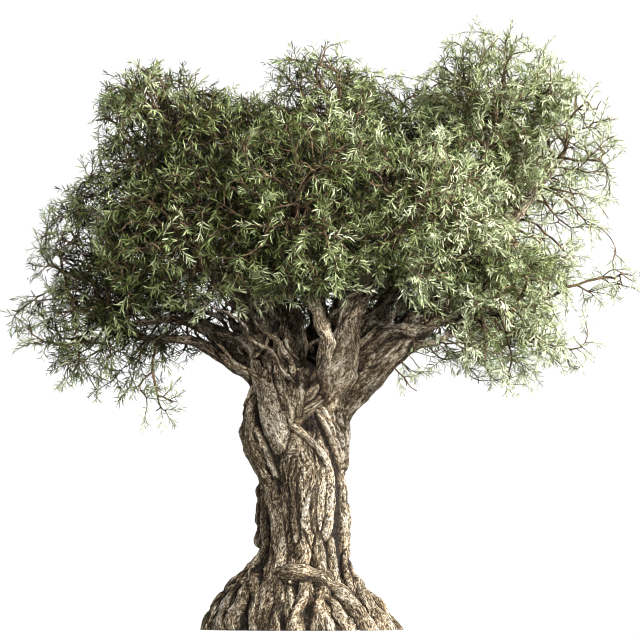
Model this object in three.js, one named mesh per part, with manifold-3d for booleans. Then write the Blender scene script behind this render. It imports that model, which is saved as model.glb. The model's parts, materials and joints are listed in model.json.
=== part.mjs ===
// An old olive tree, rooted in the ground: a braided trunk on flaring roots, the main boughs, and the
// masses of foliage that the boughs carry. Millimetres, +Z up, origin at the middle of the flat cut under
// the trunk, at ground level. +X is to the right of the tree's face, and the face looks along -Y.
import * as THREE from "three";
import { mergeVertices } from "three/addons/utils/BufferGeometryUtils.js";
import Module from "manifold-3d";

const wasm = await Module();
wasm.setup();

const { degToRad, lerp, radToDeg, smoothstep } = THREE.MathUtils;

// ---- Driving sizes -------------------------------------------------------------------------------

const GAP = 0.5; // left between solids that touch
const SLIVER = 0.2; // how far a face may move where the slivers of a cut are merged away

const WAIST_RADIUS = 300; // the trunk's narrowest outer radius
const FLARE_GAIN = 362; // how much wider the roots stand at the ground
const FLARE_HEIGHT = 340; // the height over which the flare dies away
const FLARE_POWER = 2.2;
const SHOULDER_GAIN = 150; // how much the trunk widens again towards the fork
const SHOULDER_START = 950;
const FORK_HEIGHT = 1760; // where the trunk's sides end
const CROWN_OF_TRUNK = 1900; // the top of the rounded head that the boughs leave from
const LEAN = 90; // how far the fork stands to the right of the foot
const LEAN_START = 1380;
const CORE_SHARE = 0.74; // the trunk's heart, as a share of its outer radius

const BOUGH_RING = 0.74; // how far from the trunk's axis a bough starts, as a share of the fork's radius
const BOUGH_SEAT = 70; // how far a bough runs on inside the mass that it carries
const LIMB_CROOK = 46; // how far a bough weaves to each side of its line
const LIMB_EASE = 0.36; // the share of its length over which a bough turns onto its line
const ROOT_SINK = 40; // how far the crossing root's middle goes below the ground before the flat cut
const HUMP_COUNT = 7; // the waves that make a mass uneven
const HUMP_SIZE = 0.075; // the largest wave, as a share of the mass

const TRUNK_SIDES = 32;
const TRUNK_RINGS = 19;
const LIMB_SIDES = 6;
const BOUGH_RINGS = 6;
const ROOT_RINGS = 8;
const MASS_DETAIL = 2;
const SPRAY_DETAIL = 1; // for a mass less than SPRAY_SIZE from its middle to its side
const SPRAY_SIZE = 300;

// The strands that make the trunk. Each climbs from foot to head on the trunk's outer surface. turn lists
// its azimuth in degrees and thick its radius, both at even steps from foot to head. Azimuth 0 is +X, and
// -90 is the tree's face. tuck says how many of its own radii its middle lies inside the outer surface.
const STRANDS = [
  { foot: 0, head: 1690, turn: [-115, -129, -127, -152, -180, -197], thick: [105, 86, 84, 118], tuck: 0.7 },
  { foot: 1200, head: 1900, turn: [-115, -134, -150, -166], thick: [62, 104, 104, 92] },
  { foot: 575, head: 1010, turn: [-176, -183, -181, -186, -178], thick: [36, 54, 50, 56, 32], tuck: 0.45 },
  { foot: 380, head: 1300, turn: [-84, -80, -79, -81, -92], thick: [70, 112, 122, 126, 84], tuck: 1.1 },
  { foot: 180, head: 1480, turn: [-40, -36, -35, -54, -98], thick: [62, 58, 60, 66, 50], tuck: 0.75 },
  { foot: 0, head: 1580, turn: [-34, -28, -8, -12, -24, -38], thick: [80, 74, 90, 84, 66, 56], tuck: 0.6 },
  { foot: 1400, head: 1840, turn: [-104, -80, -54, -36, -24], thick: [50, 104, 130, 128, 96], tuck: 1.05 },
  { foot: 1390, head: 1900, turn: [-94, -98, -101], thick: [52, 104, 128], tuck: 1.1 },
  { foot: 1010, head: 1600, turn: [-13, -27, -38, -46], thick: [40, 76, 108, 100], tuck: 0.95 },
  { foot: 0, head: 1780, turn: [20, 12, 26, 40, 34, 20], thick: [96, 88, 84, 90, 96, 88] },
  { foot: 0, head: 1760, turn: [58, 64, 50, 62, 84, 96], thick: [110, 92, 86, 94, 100, 88] },
  { foot: 0, head: 1800, turn: [104, 92, 98, 82, 70, 58], thick: [104, 90, 92, 88, 96, 92], tuck: 1.2 },
  { foot: 0, head: 1740, turn: [138, 132, 118, 124, 142, 150], thick: [98, 84, 88, 96, 104, 90] },
  { foot: 0, head: 1780, turn: [176, 170, 158, 150, 128, 118], thick: [108, 86, 80, 86, 92, 86], tuck: 1.15 },
];

// The roots that stand clear of the trunk near the ground.
const ROOTS = [
  { foot: 0, head: 520, turn: [-176, -178, -172, -160], thick: [62, 92, 84, 50] },
  { foot: 0, head: 300, turn: [-161, -158, -166], thick: [58, 44, 30], tuck: 0.6 },
  { foot: 0, head: 440, turn: [-146, -150, -142], thick: [84, 58, 34], tuck: 0.9 },
  { foot: 0, head: 430, turn: [-118, -124, -146], thick: [30, 30, 26], tuck: 0.2 },
  { foot: 0, head: 420, turn: [-103, -105, -112], thick: [34, 30, 28], tuck: 0.25 },
  { foot: 0, head: 330, turn: [-94, -90, -84], thick: [46, 42, 34], tuck: 0.55 },
  { foot: 0, head: 360, turn: [-76, -74, -70], thick: [72, 66, 50], tuck: 0.7 },
  { foot: 0, head: 280, turn: [-60, -66, -74], thick: [50, 44, 34], tuck: 0.5 },
  { foot: 240, head: 600, turn: [-46, -36, -26, -14], thick: [27, 25, 25, 23], tuck: 0.2 },
  { foot: 0, head: 480, turn: [-36, -32, -26, -20], thick: [76, 60, 52, 40], tuck: 0.6 },
  { foot: 0, head: 330, turn: [-6, -8, -12], thick: [60, 52, 34], tuck: 1.5 },
  { foot: 0, head: 380, turn: [38, 34, 30], thick: [70, 54, 36], tuck: 0.7 },
  { foot: 0, head: 430, turn: [76, 80, 74], thick: [66, 58, 40], tuck: 0.7 },
  { foot: 0, head: 360, turn: [90, 84, 88], thick: [52, 46, 34], tuck: 0.4 },
  { foot: 0, head: 450, turn: [122, 118, 124], thick: [74, 60, 40], tuck: 0.7 },
  { foot: 0, head: 340, turn: [156, 152, 146], thick: [60, 48, 36], tuck: 0.6 },
];

// The root that lies across the face: it leaves the ground on the right, climbs, and crosses level.
const CROSSING_ROOT = {
  foot: 0,
  head: 395,
  turn: [-50, -52, -56, -70, -88, -110],
  thick: [66, 64, 62, 64, 66, 54],
  tuck: -0.12,
  rise: 2.1,
};

// The masses of foliage: the middle of each, half its width, depth and height, and the seed of its humps.
const MASSES = {
  left_low: { at: [-1380, -150, 2110], half: [650, 700, 485], seed: 1 },
  left_low_back: { at: [-1040, 850, 2380], half: [680, 620, 480], seed: 2 },
  left_front: { at: [-760, -950, 2620], half: [640, 580, 510], seed: 3 },
  left_far: { at: [-1540, 120, 2680], half: [380, 500, 370], seed: 17 },
  left_high: { at: [-910, -80, 3330], half: [580, 720, 615], seed: 4 },
  left_back: { at: [-560, 960, 3240], half: [600, 600, 600], seed: 5 },
  left_spray: { at: [-960, -300, 1620], half: [150, 150, 220], seed: 18 },
  middle_front: { at: [-20, -1130, 2750], half: [600, 560, 630], seed: 6 },
  middle_top: { at: [205, -60, 3470], half: [450, 740, 605], seed: 7 },
  middle_back: { at: [190, 1210, 2680], half: [640, 560, 620], seed: 8 },
  top_back: { at: [690, 700, 3430], half: [550, 560, 555], seed: 9 },
  right_front: { at: [780, -960, 2780], half: [600, 590, 560], seed: 10 },
  right_top: { at: [1410, -60, 3600], half: [510, 700, 645], seed: 11 },
  right_far: { at: [1850, 40, 3320], half: [400, 620, 620], seed: 12 },
  right_low: { at: [1440, -260, 2200], half: [620, 710, 580], seed: 13 },
  right_low_back: { at: [1150, 820, 2410], half: [680, 620, 500], seed: 14 },
  right_back: { at: [1290, 860, 3250], half: [520, 520, 460], seed: 15 },
  right_spray: { at: [800, -300, 1780], half: [150, 150, 200], seed: 19 },
  right_tip: { at: [2050, -180, 2420], half: [300, 190, 160], seed: 16 },
};

// The boughs. Each leaves the trunk's head at a height, or the bough named by from at a share of its line,
// on the azimuth turn and the first of its slopes, in degrees, and arrives at the middle of its mass on
// the second. thick gives its radius where it starts and where it ends.
const BOUGHS = {
  right_arm: { to: "right_far", turn: -24, height: 1665, slopes: [42, 50], thick: [112, 52] },
  left_arm: { to: "left_low", turn: -175, height: 1690, slopes: [42, 14], thick: [46, 30] },
  left_stem: { to: "left_high", turn: -165, height: 1780, slopes: [76, 50], thick: [98, 50] },
  left_shelf: { to: "left_front", turn: -138, height: 1830, slopes: [44, 30], thick: [66, 42] },
  front_stem: { to: "middle_front", turn: -116, height: 1780, slopes: [80, 30], thick: [112, 46] },
  crown_stem: { to: "middle_top", turn: 170, height: 1800, slopes: [84, 78], thick: [124, 54] },
  right_stem: { to: "right_front", turn: -58, height: 1780, slopes: [66, 30], thick: [124, 48] },
  back_stem: { to: "middle_back", turn: 92, height: 1780, slopes: [56, 34], thick: [86, 48] },
  back_high: { to: "top_back", turn: 66, height: 1790, slopes: [80, 66], thick: [92, 46] },
  left_rear: { to: "left_low_back", turn: 160, height: 1760, slopes: [40, 22], thick: [72, 44] },
  left_back_stem: { to: "left_back", turn: 126, height: 1790, slopes: [72, 56], thick: [80, 44] },
  right_rear: { to: "right_low_back", turn: 22, height: 1740, slopes: [40, 24], thick: [78, 46] },
  right_back_stem: { to: "right_back", turn: 44, height: 1790, slopes: [62, 50], thick: [80, 44] },
  right_high_arm: { to: "right_top", from: ["right_arm", 0.28], turn: -14, slopes: [58, 72], thick: [84, 46] },
  right_low_arm: { to: "right_low", from: ["right_arm", 0.16], turn: -20, slopes: [6, 10], thick: [27, 18] },
  left_low_stem: { to: "left_low", turn: -158, height: 1790, slopes: [62, 0], thick: [44, 26] },
  right_low_stem: { to: "right_low", turn: -34, height: 1760, slopes: [62, 8], thick: [58, 34] },
};

const BARK = { color: 0x7c705d, roughness: 0.92, metalness: 0 };
const LEAF = { color: 0x5d6546, roughness: 0.7, metalness: 0 };

// ---- The trunk's form ----------------------------------------------------------------------------

// A smooth curve through values at even steps, read at t from 0 to 1.
function alongList(values, t) {
  const points = values.map((value, i) => new THREE.Vector2(i, value));
  return new THREE.SplineCurve(points).getPoint(t).y;
}

// The trunk's outer radius: a waist, a bell-shaped flare at the ground and a gentle swelling to the fork.
function outerRadius(z) {
  const flare = FLARE_GAIN * Math.exp(-Math.pow(Math.max(z, 0) / FLARE_HEIGHT, FLARE_POWER));
  const shoulder = SHOULDER_GAIN * smoothstep(z, SHOULDER_START, FORK_HEIGHT);
  return WAIST_RADIUS + flare + shoulder;
}

// The trunk's own axis, which leans to the right near the fork.
function axisX(z) {
  return LEAN * smoothstep(z, LEAN_START, FORK_HEIGHT);
}

// A strand's middle and radius at t from 0 at its foot to 1 at its head.
function strandAt({ foot, head, turn, thick, tuck = 1, rise = 1 }, t) {
  const z = lerp(foot, head, 1 - Math.pow(1 - t, rise));
  const radius = alongList(thick, t);
  const azimuth = degToRad(alongList(turn, t));
  const out = outerRadius(z) - tuck * radius;
  const middle = new THREE.Vector3(axisX(z) + out * Math.cos(azimuth), out * Math.sin(azimuth), z);
  return { middle, radius, azimuth, out };
}

// How far the trunk reaches from its axis on one azimuth at height z: the furthest point of its heart and
// of every strand there. A strand that slopes outwards cuts the level in an ellipse drawn out by its slope.
function trunkReach(azimuth, z) {
  const step = 5;
  const slope = (outerRadius(z + step) - outerRadius(z - step)) / (2 * step);
  let reach = CORE_SHARE * outerRadius(z);
  for (const strand of [...STRANDS, ...ROOTS]) {
    if (z < strand.foot || z > strand.head) continue;
    const { radius, azimuth: own, out } = strandAt(strand, (z - strand.foot) / (strand.head - strand.foot));
    const side = (out * Math.sin(azimuth - own)) / radius;
    if (Math.cos(azimuth - own) <= 0 || Math.abs(side) >= 1) continue;
    const bulge = radius * Math.hypot(1, slope) * Math.sqrt(1 - side * side);
    reach = Math.max(reach, out * Math.cos(azimuth - own) + bulge);
  }
  return reach;
}

// ---- Meshes and solids ---------------------------------------------------------------------------

// A closed skin over rings of points, each ring running anticlockwise seen from the last one.
function skinOver(rings, first, last) {
  const sides = rings[0].length;
  const points = [first, ...rings.flat(), last];
  const at = (ring, side) => 1 + ring * sides + (side % sides);
  const faces = [];
  for (let side = 0; side < sides; side++) {
    faces.push(0, at(0, side + 1), at(0, side));
    for (let ring = 0; ring + 1 < rings.length; ring++) {
      faces.push(at(ring, side), at(ring, side + 1), at(ring + 1, side + 1));
      faces.push(at(ring, side), at(ring + 1, side + 1), at(ring + 1, side));
    }
    faces.push(points.length - 1, at(rings.length - 1, side), at(rings.length - 1, side + 1));
  }
  const geometry = new THREE.BufferGeometry().setFromPoints(points);
  geometry.setIndex(faces);
  return geometry;
}

function solidOf(geometry) {
  geometry.deleteAttribute("normal");
  geometry.deleteAttribute("uv");
  const merged = mergeVertices(geometry, 1e-3);
  const mesh = new wasm.Mesh({
    numProp: 3,
    vertProperties: merged.attributes.position.array,
    triVerts: new Uint32Array(merged.index.array),
  });
  return new wasm.Manifold(mesh);
}

function geometryOf(solid) {
  const mesh = solid.getMesh();
  const geometry = new THREE.BufferGeometry();
  geometry.setAttribute("position", new THREE.BufferAttribute(mesh.vertProperties, mesh.numProp));
  geometry.setIndex(new THREE.BufferAttribute(mesh.triVerts, 1));
  return geometry;
}

// The largest of a solid's separate bodies: what a cut leaves behind as crumbs is dropped.
function mainBody(solid) {
  return solid.decompose().reduce((a, b) => (b.volume() > a.volume() ? b : a));
}

// One level of the trunk's skin at height z, drawn in to the given share where the head closes.
function trunkRing(z, share, grown) {
  const level = Math.min(z, FORK_HEIGHT);
  return Array.from({ length: TRUNK_SIDES }, (_, side) => {
    const azimuth = (side / TRUNK_SIDES) * 2 * Math.PI - Math.PI;
    const reach = trunkReach(azimuth, level) * share + grown;
    return new THREE.Vector3(axisX(level) + reach * Math.cos(azimuth), reach * Math.sin(azimuth), z);
  });
}

// The trunk, or with grown set a copy that stands that much proud of it all over. Its levels stand closer
// together near the ground, where the roots flare, and its head is a low dome between the boughs.
function trunkSolid(grown = 0) {
  const rings = Array.from({ length: TRUNK_RINGS }, (_, i) =>
    trunkRing(FORK_HEIGHT * Math.pow(i / (TRUNK_RINGS - 1), 1.25), 1, grown),
  );
  for (const rise of [0.45, 0.8]) {
    rings.push(trunkRing(lerp(FORK_HEIGHT, CROWN_OF_TRUNK, rise), Math.sqrt(1 - rise * rise), grown));
  }
  if (grown) rings.unshift(rings[0].map((p) => p.clone().setZ(-grown)));
  const foot = new THREE.Vector3(0, 0, -grown);
  const top = new THREE.Vector3(axisX(CROWN_OF_TRUNK), 0, CROWN_OF_TRUNK + grown);
  return solidOf(skinOver(rings, foot, top));
}

// A tapering limb with a round section along a path: radiusAt gives its radius at t from 0 to 1.
function limbSolid(pointAt, radiusAt, rings, grown = 0) {
  const points = Array.from({ length: rings + 1 }, (_, i) => pointAt(i / rings));
  const path = new THREE.CatmullRomCurve3(points);
  const frames = path.computeFrenetFrames(rings);
  const loops = points.map((point, i) => {
    const radius = radiusAt(i / rings) + grown;
    return Array.from({ length: LIMB_SIDES }, (_, side) => {
      const turn = (side / LIMB_SIDES) * 2 * Math.PI;
      return point
        .clone()
        .addScaledVector(frames.normals[i], radius * Math.cos(turn))
        .addScaledVector(frames.binormals[i], radius * Math.sin(turn));
    });
  });
  const ahead = frames.tangents[rings].clone().multiplyScalar(grown);
  const behind = frames.tangents[0].clone().multiplyScalar(-grown);
  loops[rings].forEach((corner) => corner.add(ahead));
  loops[0].forEach((corner) => corner.add(behind));
  return solidOf(skinOver(loops, points[0].clone().add(behind), points[rings].clone().add(ahead)));
}

// ---- The masses of foliage -----------------------------------------------------------------------

// The humps of a mass: a few waves across its surface, on directions drawn from its seed. Each wave is
// smaller and tighter than the last.
function humpWaves(seed) {
  return Array.from({ length: HUMP_COUNT }, (_, i) => {
    const turn = seed * 2.399 + i * 1.731;
    const lift = Math.sin(seed * 1.37 + i * 2.11);
    const flat = Math.sqrt(1 - lift * lift);
    const along = new THREE.Vector3(Math.cos(turn) * flat, Math.sin(turn) * flat, lift);
    return { along, pitch: 4.8 + 1.35 * i, start: seed * 0.7 + i * 1.9, size: HUMP_SIZE / (1 + 0.25 * i) };
  });
}

// How far a mass reaches from its middle in one direction, as a share of its half sizes.
function humpShare(direction, waves) {
  return waves.reduce((sum, { along, pitch, start, size }) => {
    return sum + size * Math.sin(pitch * direction.dot(along) + start);
  }, 1);
}

function massSolid({ at, half, seed }, grown = 0) {
  const waves = humpWaves(seed);
  const detail = half[0] < SPRAY_SIZE ? SPRAY_DETAIL : MASS_DETAIL;
  const geometry = new THREE.IcosahedronGeometry(1, detail);
  const position = geometry.getAttribute("position");
  for (let i = 0; i < position.count; i++) {
    const point = new THREE.Vector3().fromBufferAttribute(position, i).normalize();
    point.multiplyScalar(humpShare(point, waves)).multiply(new THREE.Vector3(...half));
    point.setLength(point.length() + grown).add(new THREE.Vector3(...at));
    position.setXYZ(i, point.x, point.y, point.z);
  }
  return solidOf(geometry);
}

// How deep a point lies inside a mass, as a share: 0 at its middle, 1 on its surface.
function depthIn({ at, half, seed }, point) {
  const inward = point.clone().sub(new THREE.Vector3(...at)).divide(new THREE.Vector3(...half));
  return inward.length() / humpShare(inward.clone().normalize(), humpWaves(seed));
}

// ---- The boughs ----------------------------------------------------------------------------------

function heading(azimuth, slope) {
  const a = degToRad(azimuth);
  const s = degToRad(slope);
  return new THREE.Vector3(Math.cos(a) * Math.cos(s), Math.sin(a) * Math.cos(s), Math.sin(s));
}

// Where a bough starts: inside the trunk's head, or on the line of its parent.
function boughStart({ from, turn, height }) {
  if (from) return boughLine(from[0])(from[1]);
  const ring = BOUGH_RING * outerRadius(FORK_HEIGHT);
  const out = heading(turn, 0).multiplyScalar(ring);
  return out.add(new THREE.Vector3(axisX(FORK_HEIGHT), 0, height));
}

// The line of a bough, from its start to the middle of its mass. It leaves and arrives on its own slopes,
// and weaves a little to each side and up and down as an old limb does.
function boughLine(name) {
  const bough = BOUGHS[name];
  const start = boughStart(bough);
  const end = new THREE.Vector3(...MASSES[bough.to].at);
  const ease = LIMB_EASE * start.distanceTo(end);
  const facing = radToDeg(Math.atan2(end.y - start.y, end.x - start.x));
  const [leaving, arriving] = bough.slopes;
  const curve = new THREE.CubicBezierCurve3(
    start,
    start.clone().addScaledVector(heading(bough.turn, leaving), ease),
    end.clone().addScaledVector(heading(facing, arriving), -ease),
    end,
  );
  const across = new THREE.Vector3(end.y - start.y, start.x - end.x, 0).normalize();
  const up = new THREE.Vector3(0, 0, 1);
  const phase = bough.turn;
  return (t) => {
    const crook = LIMB_CROOK * Math.sin(Math.PI * t);
    return curve
      .getPoint(t)
      .addScaledVector(across, crook * Math.sin(9 * t + phase))
      .addScaledVector(up, 0.7 * crook * Math.cos(11 * t + phase));
  };
}

// The share of a bough's line at which it has run BOUGH_SEAT into its mass.
function boughEnd(name) {
  const line = boughLine(name);
  const mass = MASSES[BOUGHS[name].to];
  const steps = 200;
  let inside = 0;
  for (let i = 1; i <= steps; i++) {
    const point = line(i / steps);
    if (depthIn(mass, point) < 1) inside += point.distanceTo(line((i - 1) / steps));
    if (inside > BOUGH_SEAT) return i / steps;
  }
  return 1;
}

function boughSolid(name, grown = 0) {
  const line = boughLine(name);
  const end = boughEnd(name);
  const [thick, thin] = BOUGHS[name].thick;
  const radiusAt = (t) => lerp(thick, thin, Math.pow(t, 0.7));
  return limbSolid((t) => line(t * end), radiusAt, BOUGH_RINGS, grown);
}

// The crossing root runs on below the ground at its foot, and the flat cut at ground level takes that off.
function crossingRootSolid(grown = 0) {
  const pointAt = (t) => strandAt(CROSSING_ROOT, t).middle.add(new THREE.Vector3(0, 0, -ROOT_SINK * (1 - t)));
  const radiusAt = (t) => strandAt(CROSSING_ROOT, t).radius;
  const reach = 4 * FLARE_GAIN;
  const soil = new THREE.BoxGeometry(reach, reach, reach).translate(0, 0, -reach / 2 - grown);
  return limbSolid(pointAt, radiusAt, ROOT_RINGS, grown).subtract(solidOf(soil));
}

// ---- The tree ------------------------------------------------------------------------------------

const tree = new THREE.Group();
const bark = new THREE.MeshStandardMaterial(BARK);
const leaf = new THREE.MeshStandardMaterial(LEAF);

function add(name, solid, material) {
  const mesh = new THREE.Mesh(geometryOf(solid), material);
  mesh.name = name;
  tree.add(mesh);
}

// What later solids are cut back from: each earlier solid, grown by the gap.
const cutters = [];

function addSeated(name, solid, grownCopy, material) {
  let seated = solid;
  for (const cutter of cutters) seated = seated.subtract(cutter);
  add(name, mainBody(seated).simplify(SLIVER), material);
  cutters.push(grownCopy);
}

addSeated("trunk", trunkSolid(), trunkSolid(GAP), bark);
addSeated("crossing_root", crossingRootSolid(), crossingRootSolid(GAP), bark);
for (const name of Object.keys(BOUGHS)) {
  addSeated(`bough_${name}`, boughSolid(name), boughSolid(name, GAP), bark);
}
for (const [name, mass] of Object.entries(MASSES)) {
  addSeated(`foliage_${name}`, massSolid(mass), massSolid(mass, GAP), leaf);
}

export default tree;
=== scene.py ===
"""The looks of an old olive tree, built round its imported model.

The trunk is one bark-covered bole on which roots and strands lie. The boughs grow on from its head, thin
creepers climb past them, and the crown is grown from the boughs by a seeded branching rule that fills the
packed masses of foliage. Lengths are in metres, +Z is up, and the tree's face looks along -Y.
"""

from __future__ import annotations

import json
import logging
import math
from dataclasses import dataclass, field
from enum import Enum
from functools import cached_property

import bpy
import numpy as np
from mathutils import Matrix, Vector
from mathutils.bvhtree import BVHTree

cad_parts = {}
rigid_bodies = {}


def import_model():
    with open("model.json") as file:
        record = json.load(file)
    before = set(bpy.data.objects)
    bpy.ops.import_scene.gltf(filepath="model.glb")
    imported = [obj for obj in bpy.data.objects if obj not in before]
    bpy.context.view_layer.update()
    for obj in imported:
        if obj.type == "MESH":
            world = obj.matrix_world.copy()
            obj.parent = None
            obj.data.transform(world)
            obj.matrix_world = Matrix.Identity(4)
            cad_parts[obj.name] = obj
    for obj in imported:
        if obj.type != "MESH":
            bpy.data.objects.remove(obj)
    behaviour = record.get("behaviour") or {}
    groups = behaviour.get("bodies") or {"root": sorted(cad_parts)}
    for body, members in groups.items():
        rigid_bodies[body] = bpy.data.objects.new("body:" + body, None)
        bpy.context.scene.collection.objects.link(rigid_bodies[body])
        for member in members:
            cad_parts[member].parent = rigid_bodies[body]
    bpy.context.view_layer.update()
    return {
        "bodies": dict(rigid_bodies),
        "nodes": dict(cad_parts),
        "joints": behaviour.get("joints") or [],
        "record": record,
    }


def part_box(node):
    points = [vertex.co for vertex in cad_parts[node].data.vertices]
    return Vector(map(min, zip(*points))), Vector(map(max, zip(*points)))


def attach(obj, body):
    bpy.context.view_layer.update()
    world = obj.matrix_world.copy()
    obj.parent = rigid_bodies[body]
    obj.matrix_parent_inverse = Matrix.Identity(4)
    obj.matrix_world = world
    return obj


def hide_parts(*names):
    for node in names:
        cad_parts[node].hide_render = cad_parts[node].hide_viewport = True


Array = np.ndarray
Material = bpy.types.Material
Socket = bpy.types.NodeSocket
Pair = tuple[float, float]
Triple = tuple[float, float, float]

LOG = logging.getLogger("olive")
MM = 0.001
BODY = "root"
SEED = 20240
UP = np.array([0.0, 0.0, 1.0])
GRAIN_SHIFT = 1.37  # how far apart the grain of two limbs or strands is read
CAP_RELIEF = 0.2  # the relief at the middle of a limb's closed ends
GOLDEN_ANGLE = 2.399963  # radians


# ---- Arrays ----


def unit(vectors: Array) -> Array:
    """Vectors scaled to length one along their last axis."""
    length = np.linalg.norm(vectors, axis=-1, keepdims=True)
    return vectors / np.maximum(length, 1e-9)


def across(vectors: Array, axis: Array) -> Array:
    """The part of each vector at right angles to its axis, scaled to length one."""
    return unit(vectors - axis * np.sum(vectors * axis, axis=-1, keepdims=True))


def squared_gaps(points: Array, spots: Array) -> Array:
    """The square of the distance from each point to each spot, of shape (points, spots)."""
    return (points**2).sum(1)[:, None] + (spots**2).sum(1)[None] - 2.0 * points @ spots.T


def run_along(line: Array) -> Array:
    """How far along a line each of its points lies."""
    return np.concatenate([[0.0], np.cumsum(np.linalg.norm(np.diff(line, axis=0), axis=1))])


def wrapped(angle: Array) -> Array:
    """The same angle between minus and plus half a turn."""
    return (angle + math.pi) % (2.0 * math.pi) - math.pi


def smoothstep(x: Array, low: float, high: float) -> Array:
    """0 below low, 1 above high, and 3t^2 - 2t^3 of the share t between them."""
    share = np.clip((x - low) / (high - low), 0.0, 1.0)
    return share * share * (3.0 - 2.0 * share)


def along_list(values: tuple[float, ...], t: Array) -> Array:
    """A uniform Catmull-Rom curve through values at even steps, its ends repeated, read at t from 0 to 1.

    Args:
        values: the values that the curve passes through.
        t: where the curve is read, as an array.

    Returns:
        The curve's values, in t's shape.
    """
    listed = np.asarray(values, float)
    last = len(listed) - 1
    place = np.clip(t, 0.0, 1.0) * last
    base = np.minimum(place.astype(int), last - 1)
    w = place - base
    before, here = listed[np.maximum(base - 1, 0)], listed[base]
    there, after = listed[base + 1], listed[np.minimum(base + 2, last)]
    leave, arrive = 0.5 * (there - before), 0.5 * (after - here)
    return (
        (2.0 * here - 2.0 * there + leave + arrive) * w**3
        + (3.0 * there - 3.0 * here - 2.0 * leave - arrive) * w**2
        + leave * w
        + here
    )


class Noise:
    """Smooth seeded noise in space: gradients dealt to a lattice by a hash and blended between corners."""

    PRIMES = np.array([73856093, 19349663, 83492791], np.int64)
    TABLE = 4096

    def __init__(self, seed: int) -> None:
        """Deals the table of gradients from the seed."""
        draw = np.random.default_rng(seed)
        self.gradients = unit(draw.normal(size=(self.TABLE, 3)))

    def __call__(self, points: Array) -> Array:
        """Noise of about -1 to 1 at each point.

        At every corner of a point's cell the gradient there is dotted with the way to the point, and the
        eight results are blended with the weights 6t^5 - 15t^4 + 10t^3.

        Args:
            points: an array of shape (n, 3), where one unit is one cell.

        Returns:
            An array of shape (n,).
        """
        cell = np.floor(points).astype(np.int64)
        part = points - cell
        ease = part**3 * (part * (part * 6.0 - 15.0) + 10.0)
        total = np.zeros(len(points))
        for corner in np.ndindex(2, 2, 2):
            offset = np.array(corner)
            mixed = (cell + offset) * self.PRIMES
            row = (mixed[:, 0] ^ mixed[:, 1] ^ mixed[:, 2]) % self.TABLE
            weight = np.prod(np.where(offset, ease, 1.0 - ease), axis=1)
            total += weight * np.sum(self.gradients[row] * (part - offset), axis=1)
        return 1.6 * total


# ---- Meshes ----


@dataclass
class Shape:
    """A surface as arrays: its points and faces, and for bark the grain's coordinates and its relief."""

    points: Array
    quads: Array = field(default_factory=lambda: np.zeros((0, 4), int))
    tris: Array = field(default_factory=lambda: np.zeros((0, 3), int))
    grain: Array | None = None
    relief: Array | None = None


def joined(shapes: list[Shape]) -> Shape:
    """One shape that holds all the given ones, side by side.

    Args:
        shapes: the shapes, with grain and relief in all of them or in none.

    Returns:
        The joined shape.
    """
    starts = np.cumsum([0] + [len(s.points) for s in shapes[:-1]])
    with_grain = shapes[0].grain is not None
    return Shape(
        np.concatenate([s.points for s in shapes]),
        np.concatenate([s.quads + at for s, at in zip(shapes, starts)]),
        np.concatenate([s.tris + at for s, at in zip(shapes, starts)]),
        np.concatenate([s.grain for s in shapes]) if with_grain else None,
        np.concatenate([s.relief for s in shapes]) if with_grain else None,
    )


def capped_tube(rings: Array) -> tuple[Array, Array, Array]:
    """A closed skin over rings of points.

    Ring i and ring i + 1 are joined by quads, and each end is closed by a fan round its middle.

    Args:
        rings: points of shape (rings, sides, 3), each ring anticlockwise seen from the next one.

    Returns:
        The points with the two middles last, the quads and the triangles.
    """
    count, sides = rings.shape[:2]
    side = np.arange(sides)
    after = (side + 1) % sides
    ring = np.arange(count - 1)[:, None] * sides
    quads = np.stack([ring + side, ring + after, ring + sides + after, ring + sides + side], axis=-1)
    first, last = count * sides, count * sides + 1
    top = (count - 1) * sides
    foot = np.stack([np.full(sides, first), after, side], axis=-1)
    head = np.stack([np.full(sides, last), top + side, top + after], axis=-1)
    points = np.concatenate([rings.reshape(-1, 3), rings[[0, -1]].mean(axis=1)])
    return points, quads.reshape(-1, 4), np.concatenate([foot, head])


def put_in(name: str, shape: Shape, material: Material) -> bpy.types.Object:
    """Makes an object of a shape, smooth-shaded, at the origin.

    Args:
        name: the object's name.
        shape: the surface.
        material: its one material.

    Returns:
        The new object, linked to the scene.
    """
    mesh = bpy.data.meshes.new(name)
    corners = np.concatenate([shape.quads.ravel(), shape.tris.ravel()]).astype(np.int32)
    counts = np.concatenate([np.full(len(shape.quads), 4), np.full(len(shape.tris), 3)])
    starts = np.concatenate([[0], np.cumsum(counts)[:-1]]).astype(np.int32)
    mesh.vertices.add(len(shape.points))
    mesh.vertices.foreach_set("co", shape.points.astype(np.float32).ravel())
    mesh.loops.add(len(corners))
    mesh.loops.foreach_set("vertex_index", corners)
    mesh.polygons.add(len(counts))
    mesh.polygons.foreach_set("loop_start", starts)
    mesh.polygons.foreach_set("use_smooth", np.ones(len(counts), bool))
    if shape.grain is not None:
        grain = mesh.attributes.new("grain", "FLOAT_VECTOR", "POINT")
        grain.data.foreach_set("vector", shape.grain.astype(np.float32).ravel())
        relief = mesh.attributes.new("relief", "FLOAT", "POINT")
        relief.data.foreach_set("value", shape.relief.astype(np.float32))
    mesh.update(calc_edges=True)
    mesh.validate()
    mesh.materials.append(material)
    made = bpy.data.objects.new(name, mesh)
    bpy.context.scene.collection.objects.link(made)
    return made


def box_of(name: str) -> tuple[Array, Array]:
    """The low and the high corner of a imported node's box."""
    low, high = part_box(name)
    return np.array(low), np.array(high)


def enter(piece: bpy.types.Object, slot: str, *nodes: str) -> None:
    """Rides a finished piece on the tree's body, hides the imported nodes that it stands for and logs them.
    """
    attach(piece, BODY)
    if nodes:
        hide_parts(*nodes)
    LOG.info("%s: %d faces, replaces %s", piece.name, len(piece.data.polygons), nodes or "nothing")


# ---- Finishes ----


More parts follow.
